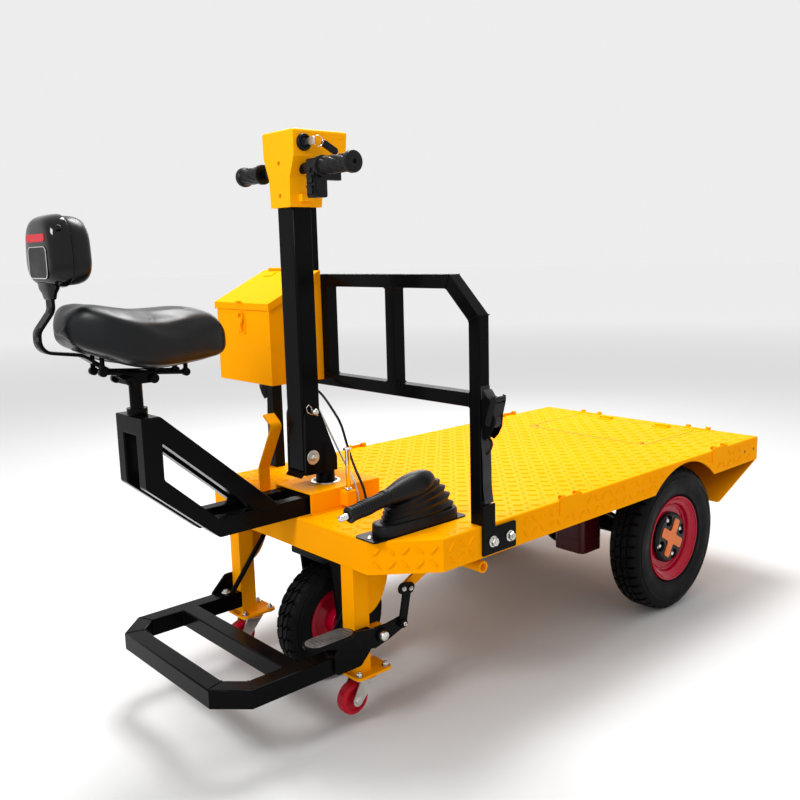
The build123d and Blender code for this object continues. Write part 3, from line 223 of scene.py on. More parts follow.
material("yellow_paint", (0.9, 0.33, 0), 0.3, drift=0.05, drift_scale=2.5, grain=0.04, grain_scale=90,
         specular=0.008)
material("black_paint", (0.0022, 0.0023, 0.0027), 0.2, drift=0.3, grain=0.04, grain_scale=110, specular=0.05)
material("red_paint", (0.38, 0, 0.018), 0.16, drift=0.1, grain=0.02, specular=0.26)
material("tyre_rubber", (0.0035, 0.0038, 0.0045), 0.48, drift=0.35, drift_scale=9, grain=0.1, grain_scale=420,
         specular=0.07)
material("zinc", (0.6, 0.59, 0.55), 0.3, metallic=1, drift=0.15, drift_scale=60, grain=0.06,
         grain_scale=500)
material("chrome", (0.72, 0.72, 0.72), 0.14, metallic=1, drift=0.05, drift_scale=40, grain=0.02)
material("yellow_plastic", (0.95, 0.38, 0), 0.36, drift=0.04, grain=0.06, grain_scale=700, specular=0.05)
material("black_plastic", (0.005, 0.005, 0.0056), 0.38, drift=0.2, grain=0.1, grain_scale=800, specular=0.16)
material("shell_plastic", (0.002, 0.002, 0.0026), 0.1, drift=0.2, grain=0.01, specular=0.26)
material("leather", (0.003, 0.0033, 0.004), 0.34, drift=0.3, drift_scale=12, grain=0.1, grain_scale=620,
         grain_kind="leather", specular=0.24)
material("rubber", (0.004, 0.004, 0.0046), 0.4, drift=0.25, drift_scale=14, grain=0.1, grain_scale=600,
         specular=0.18)
material("webbing", (0.009, 0.009, 0.01), 0.75, drift=0.3, drift_scale=30, grain=0.5, grain_scale=260,
         grain_kind="weave", sheen=0.08)
material("maroon_plastic", (0.045, 0.002, 0.004), 0.34, grain=0.05, grain_scale=500, specular=0.3)
material("grey_rubber", (0.5, 0.5, 0.48), 0.45, drift=0.08, grain=0.05)
material("red_wheel", (0.42, 0.004, 0.016), 0.3, drift_scale=25, grain=0.06, grain_scale=400, specular=0.15)
material("orange_plastic", (0.72, 0.15, 0.012), 0.34, drift=0.1, drift_scale=30, grain=0.1, grain_scale=900,
         specular=0.3)
material("clear_cover", (0.07, 0.07, 0.07), 0.16, drift=0.3, drift_scale=30, grain=0.08, specular=0.7)
node_slot = {part["node"]: part["material_slot"] for part in frame["record"]["subparts"]}
for name, node in nodes.items():
    node.data.materials.clear()
    node.data.materials.append(finish[node_slot[name]])

# Rounded edges on the CAD nodes, by width in mm
ROUNDED = {
    6: ("head_cover",),
    4: ("controller_case", "battery"),
    3: ("seat_frame",),
    2.5: ("guard_frame", "steering_box", "caster_legs"),
    2: ("under_frame",),
    1.5: ("column_bracket", "head_tube", "steering_fork", "foot_frame", "switch_block", "rear_axle"),
    1.2: ("toolbox", "column_hook", "brake_pedal", "rear_rim_left", "rear_rim_right", "front_rim"),
    1: ("toolbox_lid", "tail_plate", "foot_stays", "seat_post", "backrest_bracket", "brake_link",
        "hub_cap_left", "hub_cap_right", "steering_column"),
    0.8: ("hatch", "fence_hinges", "cross_shaft", "handlebar", "leaf_springs", "caster_wheel_left",
          "caster_wheel_right"),
    0.6: ("lock_pin", "handbrake_base", "caster_fork_left", "caster_fork_right", "hub_insert_left",
          "hub_insert_right"),
}


def round_edges(obj, width, segments):
    weld = obj.modifiers.new("weld", "WELD")
    weld.merge_threshold = MERGE
    bevel = obj.modifiers.new("round", "BEVEL")
    bevel.width = mm(width)
    bevel.segments = segments
    bevel.limit_method = "ANGLE"
    bevel.angle_limit = SHARP_FROM
    bevel.harden_normals = True


for width, names in ROUNDED.items():
    for name in names:
        round_edges(nodes[name], width, 3 if width >= 2 else 2)


# Meshes for the scene's own pieces
class Shape:
    """Faces of one piece, collected in drawing millimetres."""

    def __init__(self):
        self.points = []
        self.faces = []

    def add(self, points, faces):
        start = len(self.points)
        self.points += [Vector(point) for point in points]
        self.faces += [[start + index for index in face] for face in faces]

    def grid(self, rows, loop=False, rings=False):
        """Quads over rows of points; loop joins the last row to the first, rings closes each row."""
        count, width = len(rows), len(rows[0])
        faces = []
        for i in range(count if loop else count - 1):
            for j in range(width if rings else width - 1):
                a, b, c, d = i * width, (i + 1) % count * width, j, (j + 1) % width
                faces.append((a + c, a + d, b + d, b + c))
        self.add([point for row in rows for point in row], faces)

    def skin(self, rows, loop=False):
        """Skin over rings of points: capped at both ends, or joined into a loop."""
        self.grid(rows, loop, rings=True)
        if not loop:
            for ring in (rows[0], rows[-1]):
                self.add(ring, [range(len(ring))])

    def lathe(self, profile, base, axis, steps, turn=0.0, loop=False):
        """Solid turned about an axis from a profile of (radius, along)."""
        base, axis = Vector(base), Vector(axis).normalized()
        side = axis.orthogonal().normalized()
        other = axis.cross(side)
        turns = [turn + a for a in angles(steps)]
        rows = [[base + along * axis + radius * (cos(a) * side + sin(a) * other) for a in turns]
                for radius, along in profile]
        self.skin(rows, loop)

    def tube(self, path, radius, sides, loop=False):
        """Round bar along a path; radius may be a list with one value per point."""
        path = [Vector(point) for point in path]
        count = len(path)
        radii = radius if isinstance(radius, list) else [radius] * count
        rows, normal = [], None
        for i, point in enumerate(path):
            ahead = path[(i + 1) % count] if loop or i + 1 < count else point
            behind = path[i - 1] if loop or i > 0 else point
            tangent = (ahead - behind).normalized()
            normal = tangent.orthogonal() if normal is None else normal - tangent * normal.dot(tangent)
            normal.normalize()
            other = tangent.cross(normal)
            rows.append([point + radii[i] * (cos(a) * normal + sin(a) * other) for a in angles(sides)])
        self.skin(rows, loop)

    def box(self, low, high):
        (x0, y0, z0), (x1, y1, z1) = low, high
        self.skin([[(x0, y0, z), (x1, y0, z), (x1, y1, z), (x0, y1, z)] for z in (z0, z1)])

    def prism(self, outline, base, across, up, depth):
        """Outline in two directions from base, pushed along their cross product."""
        base, across, up = Vector(base), Vector(across), Vector(up)
        push = across.cross(up).normalized() * depth
        near = [base + a * across + b * up for a, b in outline]
        self.skin([near, [point + push for point in near]])

    def bolt(self, base, axis, across, head, washer=0, dome=True):
        """Hex head, on a washer if one is given, with the rounded end of its thread."""
        base, axis = Vector(base), Vector(axis).normalized()
        sunk, thick = -0.2, 2
        if washer:
            radius = washer / 2
            self.lathe([(radius, sunk), (radius, 1.4), (radius - 0.8, thick)], base, axis, 28)
            base = base + thick * axis
        corner = across / 2 / cos(pi / 6)
        turn = dice.random() * pi
        self.lathe([(corner, sunk), (corner, 0.78 * head), (0.86 * corner, head)], base, axis, 6, turn)
        if dome:
            thread = 0.29 * across
            self.lathe([(thread, head - 0.5), (thread, head + 2.2), (0.7 * thread, head + 3)], base, axis, 16)

    def bead(self, path, radius):
        """Weld bead with ripples along a path of corners."""
        path = [Vector(point) for point in path]
        spacing, ripples = 1.6, 3
        spots, radii = [], []
        for a, b in zip(path, path[1:]):
            count = max(2, round((b - a).length / spacing))
            spots += [a.lerp(b, step / count) for step in range(count)]
        spots.append(path[-1])
        for number in range(len(spots)):
            wave = abs(sin(number * pi / ripples))
            radii.append(radius * (0.82 + 0.18 * wave + 0.1 * (dice.random() - 0.5)))
        self.tube(spots, radii, 8)


def piece(name, body, slot, shape, bevel=0.0, segments=2, sharp=40, stands_for=(), paint=None):
    """One of the scene's own pieces: its mesh, finish, body, and the CAD nodes it is shown for."""
    mesh = bpy.data.meshes.new(name)
    mesh.from_pydata([at(*point) for point in shape.points], [], shape.faces)
    work = bmesh.new()
    work.from_mesh(mesh)
    bmesh.ops.remove_doubles(work, verts=work.verts, dist=MERGE)
    bmesh.ops.recalc_face_normals(work, faces=work.faces)
    work.to_mesh(mesh)
    work.free()
    mesh.shade_smooth()
    mesh.set_sharp_from_angle(angle=radians(sharp))
    mesh.materials.append(finish[paint or slot])
    obj = show(name, mesh)
    if bevel:
        round_edges(obj, bevel, segments)
    if stands_for:
        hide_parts(*stands_for)
    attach(obj, body)
    return obj


def oval(length, width, steps=40):
    """Outline of a slot with round ends."""
    radius, run = width / 2, (length - width) / 2
    return [(copysign(run, cos(a)) + radius * cos(a), radius * sin(a)) for a in angles(steps, 0.5)]


def rounded(width, height, radius):
    """Outline of a rectangle with round corners."""
    points, steps = [], 6
    for corner, (sx, sy) in enumerate(((1, 1), (-1, 1), (-1, -1), (1, -1))):
        for step in range(steps + 1):
            a = pi / 2 * (corner + step / steps)
            points.append((sx * (width / 2 - radius) + radius * cos(a),
                           sy * (height / 2 - radius) + radius * sin(a)))
    return points


def squircle(half_width, half_height, steps, power):
    """Outline between an ellipse and a rectangle."""
    return [(half_width * signed_power(cos(a), power), half_height * signed_power(sin(a), power))
            for a in angles(steps)]


# Checker plate: lens-shaped bars in alternating directions on the deck, hatch, cut corners and skirts
BAR = ((-12, 0), (-7, -2.7), (0, -3.7), (7, -2.7), (12, 0), (7, 2.7), (0, 3.7), (-7, 2.7))
PITCH = 29
REACH = 11.5
DECK_BAR, SKIRT_BAR = 1.9, 3.2
ARCH_X, ARCH_RADIUS = 1042, 216
CUT_LENGTH = int(hypot(CUT_X, CUT_Y))


def checker(shape, origin, across, up, size, is_free, height=DECK_BAR):
    """Bars over a field that starts at origin and spans size in two directions."""
    sunk, top_length, top_width = 0.3, 0.84, 0.5
    origin, across, up = Vector(origin), Vector(across), Vector(up)
    out = across.cross(up)
    counts = [int((length - 2 * REACH) // PITCH) + 1 for length in size]
    starts = [(length - (count - 1) * PITCH) / 2 for length, count in zip(size, counts)]
    for i in range(counts[0]):
        for j in range(counts[1]):
            centre = origin + (starts[0] + i * PITCH) * across + (starts[1] + j * PITCH) * up
            if is_free(centre):
                lean = sqrt(0.5) * (across + up if (i + j) % 2 else across - up)
                wide = out.cross(lean)
                low = [centre + a * lean + b * wide - sunk * out for a, b in BAR]
                high = [centre + top_length * a * lean + top_width * b * wide + height * out for a, b in BAR]
                shape.skin([low, high])


def clear_of(low, high, centre):
    """True if a bar at centre stays outside the rectangle."""
    return any(c + REACH < a or c - REACH > b for a, b, c in zip(low, high, centre))


# Rectangles on the deck that other pieces stand on, lowest and highest x and y; the second set is mirrored
COVERED = (((30, -92), (230, 70)), ((14, 108), (44, 116)), ((0, -322), (264, -256)))
COVERED_TWICE = (((0, 0), (30, 62)), ((230, 365), (260, 395)), ((1112, 0), (1393, 220)),
                 ((494, 384), (570, 395)), ((1177, 384), (1253, 395)), ((1418, 160), (1440, 246)))


def free_on_deck(centre):
    mirrored = (centre.x, abs(centre.y))
    corner = (CUT_Y * centre.x - CUT_X * (mirrored[1] - NOSE)) / hypot(CUT_Y, CUT_X)
    return (corner > REACH + 3 and all(clear_of(low, high, centre) for low, high in COVERED)
            and all(clear_of(low, high, mirrored) for low, high in COVERED_TWICE))


bars = Shape()
checker(bars, (0, -HALF, DECK_TOP), X, Y, (DECK_LENGTH, 2 * HALF), free_on_deck)
piece("checker_deck", "chassis", "yellow_paint", bars, sharp=70)


def free_on_hatch(centre):
    return all(clear_of((1363, y - 27), (1390, y + 27), centre) for y in (-107, 107))


bars = Shape()
checker(bars, (1118, -214, DECK_TOP), X, Y, (269, 428), free_on_hatch)
piece("checker_hatch", "hatch", "yellow_paint", bars, sharp=70)


def free_on_skirt(centre):
    flat = (centre.x, centre.z)
    arch = hypot(centre.x - ARCH_X, centre.z - REAR_Z) > ARCH_RADIUS + REACH
    blocked = (((226, 340), (338, 440)), ((490, 388), (574, 440)), ((1173, 388), (1257, 440)),
               ((1358, 383), (1372, 397)), ((1411, 383), (1425, 397)))
    return arch and all(clear_of(low, high, flat) for low, high in blocked)


bars = Shape()
skirt_height = DECK_TOP - SKIRT_LOW - 2
for side in (-1, 1):
    nose = Vector((0, side * NOSE, SKIRT_LOW))
    bend = Vector((CUT_X, side * HALF, SKIRT_LOW))
    tail = Vector((DECK_LENGTH, side * HALF, SKIRT_LOW))
    run = (bend - nose).normalized()
    start, size = bend if side < 0 else tail, (DECK_LENGTH - CUT_X, skirt_height)
    checker(bars, start, -side * X, Z, size, free_on_skirt, SKIRT_BAR)
    start, size = nose if side < 0 else bend, (CUT_LENGTH, skirt_height)
    checker(bars, start, -side * run, Z, size, lambda centre: True, SKIRT_BAR)
piece("checker_skirts", "chassis", "yellow_paint", bars, sharp=70)


# Tyres: carcass with sidewall rings, and rows of tread blocks
def tread_block(shape, centre, profile, depth, start, end, skew):
    """One block from its profile of (along, radius); skew turns it along the tread."""
    top, base = [], []
    for along, radius in profile:
        turned = [start + (end - start) * share + skew * along for share in (0, 0.5, 1)]
        for rows, r in ((top, radius), (base, radius - depth)):
            rows.append([centre + Vector((r * cos(a), along, r * sin(a))) for a in turned])
    shape.grid(top)
    shape.grid(base)
    for i in (0, -1):
        shape.grid([top[i], base[i]])
    for i in (0, -1):
        shape.grid([[row[i] for row in top], [row[i] for row in base]])


def tyre(node, body, centre, outside, bead, width, depth, pitches, rows, steps):
    """Carcass turned from its half section, with a pair of tread rows per entry of rows."""
    shape = Shape()
    centre = Vector(centre)
    r, t, w = outside / 2, bead / 2, width / 2
    wall = r - t
    half = [(t + 0.5, 0.7 * w), (t + 4, 0.79 * w), (t + 6, 0.84 * w), (t + 7.5, 0.875 * w),
            (t + 9, 0.865 * w), (t + 0.26 * wall, 0.93 * w), (t + 0.42 * wall, 0.985 * w),
            (t + 0.54 * wall, 0.99 * w), (t + 0.64 * wall, 0.978 * w), (t + 0.65 * wall, 0.978 * w + 1.1),
            (t + 0.67 * wall, 0.972 * w + 1.1), (t + 0.68 * wall, 0.965 * w), (r - 0.2 * wall, 0.925 * w),
            (r - depth - 6, 0.87 * w), (r - depth - 2, 0.78 * w), (r - depth, 0.4 * w)]
    profile = half + [(radius, -along) for radius, along in half[::-1]]
    shape.lathe(profile, centre, Y, steps, loop=True)
    pitch = 2 * pi / pitches
    for inner, outer, drops, fill, skew, shift in rows:
        count = len(drops) - 1
        for way, offset in ((1, shift), (-1, shift + 0.5)):
            block = [(way * (inner + (outer - inner) * i / count) * w, r - drop)
                     for i, drop in enumerate(drops)]
            for number in range(pitches):
                start = (number + offset) * pitch
                tread_block(shape, centre, block, depth + 1.5, start, start + fill * pitch, skew)
    piece(f"tread_{node}", body, "tyre_rubber", shape, bevel=1, segments=1, sharp=32, stands_for=(node,))


# Tread rows: inner and outer edge in half widths, drops below the crown, fill, skew per mm, shift
rear_rows = (
    (0.4, 0.93, (0.2, 0.8, 2.6, 7, 17), 0.76, 0.0006, 0),
    (0.05, 0.34, (0, 0.1, 0.2), 0.84, 0.004, 0.3),
)
front_rows = (
    (0.46, 0.93, (0.2, 1, 3.5, 8, 15), 0.74, 0, 0),
    (0.05, 0.39, (0, 0.1, 0.2), 0.78, 0.007, 0.35),
)
for side, name in SIDES:
    tyre(f"rear_tyre_{name}", f"rear_wheel_{name}", (REAR_X, side * 332, REAR_Z), 400, 236, 96, 7, 42,
         rear_rows, 128)
tyre("front_tyre", "front_wheel", (FRONT_X, 0, FRONT_Z), 280, 156, 80, 6, 30, front_rows, 96)


# Saddle and backrest pad: drawn as full forms, then inflated against their own stretch
def curve_at(t, table):
    """Smooth value at t from a table of (t, value)."""
    for i in range(len(table) - 1):
        (x1, y1), (x2, y2) = table[i], table[i + 1]
        if t <= x2 or i == len(table) - 2:
            x0, y0 = table[max(i - 1, 0)]
            x3, y3 = table[min(i + 2, len(table) - 1)]
            slope1 = (y2 - y0) / (x2 - x0)
            slope2 = (y3 - y1) / (x3 - x1)
            s = min(max((t - x1) / (x2 - x1), 0), 1)
            run = x2 - x1
            return ((2 * s ** 3 - 3 * s ** 2 + 1) * y1 + (s ** 3 - 2 * s ** 2 + s) * run * slope1
                    + (3 * s ** 2 - 2 * s ** 3) * y2 + (s ** 3 - s ** 2) * run * slope2)


PUFF_FRAMES = 16


def puff(obj, pressure, cap, held):
    """Cloth under pressure for a few frames; each point stays within cap of where it was drawn."""
    drawn = [vertex.co.copy() for vertex in obj.data.vertices]
    group = obj.vertex_groups.new(name="held")
    group.add([i for i, co in enumerate(drawn) if held(co)], 1.0, "REPLACE")
    cloth = obj.modifiers.new("puff", "CLOTH")
    settings = cloth.settings
    settings.quality = 4
    settings.mass = 0.3
    settings.tension_stiffness = 20
    settings.compression_stiffness = 20
    settings.bending_stiffness = 1
    settings.use_pressure = True
    settings.uniform_pressure_force = pressure
    settings.vertex_group_mass = "held"
    settings.effector_weights.gravity = 0
    cloth.point_cache.frame_start = 1
    cloth.point_cache.frame_end = PUFF_FRAMES
    for number in range(1, PUFF_FRAMES + 1):
        scene.frame_set(number)
    shaped = obj.evaluated_get(bpy.context.evaluated_depsgraph_get())
    inflated = [vertex.co.copy() for vertex in shaped.data.vertices]
    obj.modifiers.remove(cloth)
    scene.frame_set(1)
    for vertex, start, end in zip(obj.data.vertices, drawn, inflated):
        move = end - start
        if move.length > cap:
            move = move * (cap / move.length)
        vertex.co = start + move


def soft(obj):
    ease = obj.modifiers.new("ease", "SMOOTH")
    ease.factor = 0.5
    ease.iterations = 5
    smooth = obj.modifiers.new("fine", "SUBSURF")
    smooth.levels = smooth.render_levels = 1


SADDLE_BACK, SADDLE_MID, SADDLE_FRONT = -466, -297, -128
SADDLE_TOP = ((SADDLE_BACK, 893), (-448, 913), (-428, 917), (-374, 906), (-308, 896), (-216, 896),
              (-168, 886), (SADDLE_FRONT, 852))
SADDLE_LOW = ((SADDLE_BACK, 842), (-430, 831), (-373, 806), (-308, 792), (-216, 794), (-168, 798),
              (SADDLE_FRONT, 806))


def saddle_half(x):
    """Half width of the saddle's plan: two circles and the lines that touch both."""
    (back, back_radius), (front, front_radius) = (-356, 110), (-188, 60)
    (leave, wide), (meet, narrow) = (-322, 104.6), (-169, 57)
    if x < leave:
        return sqrt(max(back_radius ** 2 - (x - back) ** 2, 0))
    if x > meet:
        return sqrt(max(front_radius ** 2 - (x - front) ** 2, 0))
    return wide + (narrow - wide) * (x - leave) / (meet - leave)


def saddle():
    rows = []
    count, around, half_length, end_round = 64, 72, 168.5, 34
    for i in range(count + 1):
        x = SADDLE_MID - half_length * cos(pi * i / count)
        top, low = curve_at(x, SADDLE_TOP), curve_at(x, SADDLE_LOW)
        end = min(x - SADDLE_BACK, SADDLE_FRONT - x)
        swell = sqrt(max(1 - (1 - min(end / end_round, 1)) ** 2, 0.02))
        half = max(saddle_half(x), 6)
        middle = low + 0.5 * (top - low)
        row = []
        for a in angles(around):
            c, s = cos(a), sin(a)
            power = 0.6 if s > 0 else 0.26
            flare = 1 - 0.05 * max(-s, 0)
            y = half * flare * signed_power(c, power)
            z = middle + swell * (top - low) / 2 * signed_power(s, power)
            dish = 5 * exp(-((x + 400) / 70) ** 2) * exp(-(y / 45) ** 2) if s > 0 else 0
            row.append((x, y, z - dish))
        rows.append(row)
    shape = Shape()
    shape.skin(rows)
    obj = piece("saddle_cushion", "chassis", "leather", shape, sharp=80, stands_for=("saddle",))
    puff(obj, 4, mm(5), lambda co: co.z < mm(curve_at(1000 * co.x + MID_X, SADDLE_LOW) + 7))
    soft(obj)
    pan = Shape()
    rows = []
    for level, share in ((6, 0.66), (-1, 0.64), (-3, 0.56)):
        ring = []
        for a in angles(48):
            x = SADDLE_MID - 140 * cos(a)
            half = share * max(saddle_half(x), 8)
            ring.append((x, half * signed_power(sin(a), 0.4), curve_at(x, SADDLE_LOW) + level))
        rows.append(ring)
    pan.skin(rows)
    piece("saddle_pan", "chassis", "black_plastic", pan, sharp=60)


saddle()


def back_outline(half_width, half_height, steps):
    """Outline of the backrest, drawn in towards its top."""
    return [(y * (1 - 0.07 * (z / 65 + 0.4)), z) for y, z in squircle(half_width, half_height, steps, 0.62)]


def backrest():
    middle = 1013

    def rings(outline, levels):
        """The outline at each level's share of its size and x."""
        return [[(x, share * y, middle + share * z) for y, z in outline] for share, x in levels]

    case = Shape()
    levels = ((0.3, -490.6), (0.55, -490.4), (0.72, -489.6), (0.8, -488.2), (0.87, -485), (0.92, -480.5),
              (0.955, -475), (0.985, -468), (1, -461), (1, -457.2), (0.965, -456.9))
    case.skin(rings(back_outline(76, 65, 72), levels))
    levels = ((958, 13, 34), (946, 12, 30), (938, 9, 22), (929, 7.5, 19), (927, 6, 17))
    case.skin([[(-474 + a, b, z) for a, b in squircle(run, wide, 32, 0.6)] for z, run, wide in levels])
    piece("backrest_case", "chassis", "shell_plastic", case, sharp=50, stands_for=("backrest_shell",))
    pad = Shape()
    levels = ((0.9, -456.8), (0.97, -456.4), (1, -452), (1.005, -446), (1, -438), (0.985, -430),
              (0.955, -423.5), (0.9, -418), (0.82, -414.4), (0.7, -412.4), (0.55, -411.2), (0.38, -410.6),
              (0.2, -410.4), (0.08, -410.3))
    pad.skin(rings(back_outline(73, 62, 96), levels))
    obj = piece("backrest_cushion", "chassis", "leather", pad, sharp=80, stands_for=("backrest_pad",))
    puff(obj, 3, mm(4), lambda co: co.x < at(-448, 0, 0).x)
    soft(obj)
    trim = Shape()
    trim.tube([(-456.6, y, middle + z) for y, z in back_outline(74.6, 63.6, 72)], 1.6, 8, loop=True)
    piece("backrest_piping", "chassis", "leather", trim, sharp=80)
    lens = Shape()
    lens.prism(rounded(88, 14, 6), (-487, 2, 1036), -Y, Z, 4.6)
    piece("backrest_reflector", "chassis", "red_wheel", lens, bevel=1.2)
    plate = Shape()
    plate.prism(rounded(88, 58, 12), (-488.6, -3, 993), -Y, Z, 2.8)
    piece("backrest_plate", "chassis", "black_plastic", plate, bevel=0.6)
    edge = Shape()
    edge.tube([(-491.2, -3 - a, 993 + b) for a, b in rounded(85, 55, 11)], 0.9, 8, loop=True)
    piece("backrest_plate_edge", "chassis", "chrome", edge)
    plugs = Shape()
    for side in (-1, 1):
        plugs.lathe([(5, 0), (5, 1.6), (3.6, 2.2), (3, 0.9)], (-474, side * 66.5, 1052), (0, side, 0.55), 20)
    piece("backrest_plugs", "chassis", "black_plastic", plugs)


backrest()


# Head: key, ring and fob, screws, tab and slot; grips and switches
BAR_X, BAR_Z = 66, 1175
GRIP_START = 106


def handle_grip(side, end):
    """Rings of a rubber grip: collar, slanted ribs, flange and an end hole."""
    profile, steps, around, ribs = [], 60, 72, 9
    for i in range(steps + 1):
        y = GRIP_START + (end - 12 - GRIP_START) * i / steps
        along = y - GRIP_START
        radius = 20.5 if along <= 1.5 else 22 if along < 11 else 17.2 if along < 14 else 19
        profile.append((y, radius, 14 <= along < end - GRIP_START - 15))
    flange = ((-11, 19.5), (-10, 21.5), (-8, 22.3), (-1, 22.3), (1.6, 21.6), (2.8, 19.5), (2.8, 6.5),
              (2.2, 5), (-5, 4.4))
    profile += [(end + along, radius, False) for along, radius in flange]
    rows = []
    for y, radius, ribbed in profile:
        ring = []
        for a in angles(around):
            lift = 0.0
            if ribbed:
                lift = -1.5 if sin(ribs * a + side * y / 5.5) < -0.35 else 0.0
                lift -= 0.5 * sin((y - GRIP_START) / 7) ** 2
            reach = radius + lift
            ring.append((BAR_X + reach * cos(a), side * y, BAR_Z + reach * sin(a)))
        rows.append(ring)
    return rows


def head():
    shape = Shape()
    for side, end in ((-1, 215), (1, 190)):
        shape.skin(handle_grip(side, end))
    piece("grip_sleeves", "steering", "rubber", shape, sharp=45, stands_for=("grips",))

    lock = Shape()
    keyhole = (60, -56, 1228)
    lock.lathe([(17, -2), (18, 0), (18, 5), (16.6, 7.6), (13, 8.4), (11.4, 7), (10.6, 5.6)], keyhole, -Y, 48)
    lock.lathe([(9.6, 4), (9.6, 7.4), (8.8, 8.2)], keyhole, -Y, 32)
    piece("key_lock", "steering", "black_plastic", lock, sharp=35, stands_for=("key_switch",))
    key = Shape()
    key.box((58.9, -82, 1222.5), (61.1, -62, 1233.5))
    key.prism(rounded(20, 17, 6), (58.6, -86, 1228), -Y, Z, -2.8)
    piece("key_blade", "steering", "zinc", key, bevel=0.5)
    ring = Shape()
    centre = Vector((74, -90, 1228))
    ring.tube([centre + 12 * cos(a) * Vector((1, 0, 0.25)) + 11 * sin(a) * Vector((-0.15, 0.25, 1))
               for a in angles(40)], 0.6, 8, loop=True)
    piece("key_wire", "steering", "chrome", ring)
    fob = Shape()
    lean = Vector((0.86, -0.1, -0.5)).normalized()
    up = Vector((0.5, 0, 0.86)).normalized()
    fob.prism(rounded(42, 15, 6.5), (104, -86, 1216), lean, up, 8)
    piece("key_fob", "steering", "black_plastic", fob, bevel=2.2, segments=3)

    screws = Shape()
    for z in (1120, 1188):
        screws.lathe([(4.6, 0), (4.6, 2.6), (3.6, 3.6), (1.8, 3.6), (1.6, 2.4)], (46, 0, z), -X, 18)
    piece("head_screws", "steering", "zinc", screws)
    tab = Shape()
    tab.box((57, -47, 1106), (90, -34, 1123))
    piece("head_tab", "steering", "yellow_plastic", tab, bevel=3, segments=3)
    plug = Shape()
    plug.prism(oval(17, 7), (158, -57.6, 1243), X, Z, 0.8)
    piece("head_slot_plug", "steering", "yellow_plastic", plug, bevel=0.3)

    keys = Shape()
    for z0, z1 in ((1118, 1137), (1141, 1158)):
        rocker = [(0, z0), (-5, z0 + 1), (-3, (z0 + z1) / 2), (-6.5, z1 - 1), (0, z1)]
        keys.prism(rocker, (49.5, -82, 0), X, Z, 18)
    keys.lathe([(5, -1), (5, 3), (4, 4.4)], (49, -91, 1168), -X, 20)
    keys.prism(rounded(25, 50, 6), (66.5, -103.6, 1143), X, Z, 2.2)
    piece("switch_keys", "steering", "black_plastic", keys, bevel=1)
    heads = Shape()
    for x, z in ((58, 1124), (75, 1124), (58, 1162), (75, 1162)):
        heads.lathe([(2.4, 0), (2.4, 1.2), (1.6, 1.8)], (x, -105.6, z), -Y, 14)
    piece("switch_screws", "steering", "black_plastic", heads)
    band = Shape()
    for y in (-70, 72):
        band.lathe([(13.5, -6), (14.5, -5), (14.5, 5), (13.5, 6)], (BAR_X, y, BAR_Z), Y, 32)
    piece("bar_bands", "steering", "black_plastic", band)


head()


# Column foot: pivot bolts, upper pin with a ball and clip. Steering box: flange, weld beads, lock-pin collar
def column():
    shape = Shape()
    for side in (-1, 1):
        shape.lathe([(16.5, -0.2), (16.5, 1.8), (15.5, 2.6), (9, 2.6)], (65, side * 36.3, 546), side * Y, 36)
        shape.bolt((65, side * 38.6, 546), side * Y, across=16, head=8)
    shape.lathe([(5, 0), (5, 5), (7, 8), (7.6, 11), (7, 14), (4.5, 16.6)], (69, -36.3, 650), -Y, 24)
    shape.lathe([(5, 0), (5, 9), (4.2, 10)], (69, 36.3, 650), Y, 24)
    piece("column_bolts", "steering", "zinc", shape, bevel=0.4, segments=1)
    clip = Shape()
    clip.tube([(64, -41, 652), (60, -44, 662), (52, -46, 668), (47, -45, 662), (50, -43, 652), (60, -42, 646),
               (72, -42, 643), (80, -41, 640)], 1.2, 8)
    piece("column_clip", "steering", "zinc", clip)
    lip = Shape()
    lip.prism([(0, 0), (11, -8), (12.6, -6), (1.5, 3.5)], (46, 30, 508), -X, Z, -60)
    piece("column_lip", "steering", "black_paint", lip, bevel=0.8)
    flange = Shape()
    flange.lathe([(28.8, -0.2), (34.5, -0.2), (35, 1), (34.5, 2.4), (31, 3), (28.8, 3)], (FRONT_X, 0, 474), Z,
                 56, loop=True)
    piece("box_flange", "chassis", "zinc", flange)
    seams = Shape()
    for side in (-1, 1):
        seams.bead([(x, side * 71, 426) for x in (32, 228)], 2)
    seams.bead([(231, y, 426) for y in (-70, 70)], 2)
    for y in (108.6, 115.4):
        seams.bead([(x, y, 426) for x in (13, 45)], 1.8)
    piece("deck_welds", "chassis", "yellow_paint", seams, sharp=80)
    pin = Shape()
    pin.lathe([(7.6, 0), (8.2, 1), (8.2, 4), (7.4, 5)], (128, -81, 466), Z, 28)
    piece("lock_pin_collar", "chassis", "zinc", pin)


column()


# Guard: bracket bolts, weld beads, and the ratchets with their webbing
def guard():
    bolts = Shape()
    for side in (-1, 1):
        for x in (260, 314):
            bolts.bolt((x, side * 401, 387), side * Y, across=17, head=8, washer=25)
    piece("guard_bolts", "chassis", "zinc", bolts, bevel=0.4, segments=1)
    seams = Shape()
    for ends in ((-138, -106), (106, 138)):
        for z in (705.5, 917.5):
            for x in (229.6, 260.4):
                seams.bead([(x, y, z) for y in ends], 2)
            for y in ends:
                seams.bead([(x, y, z) for x in (230, 260)], 2)
    for side in (-1, 1):
        for z in (674.5, 705.5):
            seams.bead([(x, side * 364.6, z) for x in (231, 259)], 2)
        for x in (229.8, 260.2):
            seams.bead([(x, side * 365, z) for z in (675, 705)], 1.8)
        for x in (229.7, 260.3):
            seams.bead([(x, side * 395, 866), (x, side * 365, 852.5)], 1.6)
            seams.bead([(x, side * 312, 948), (x, side * 299.5, 918)], 1.6)
        seams.bead([(x, side * 364.8, 425.6) for x in (232, 258)], 2)
    piece("guard_welds", "chassis", "black_paint", seams, sharp=80)


guard()


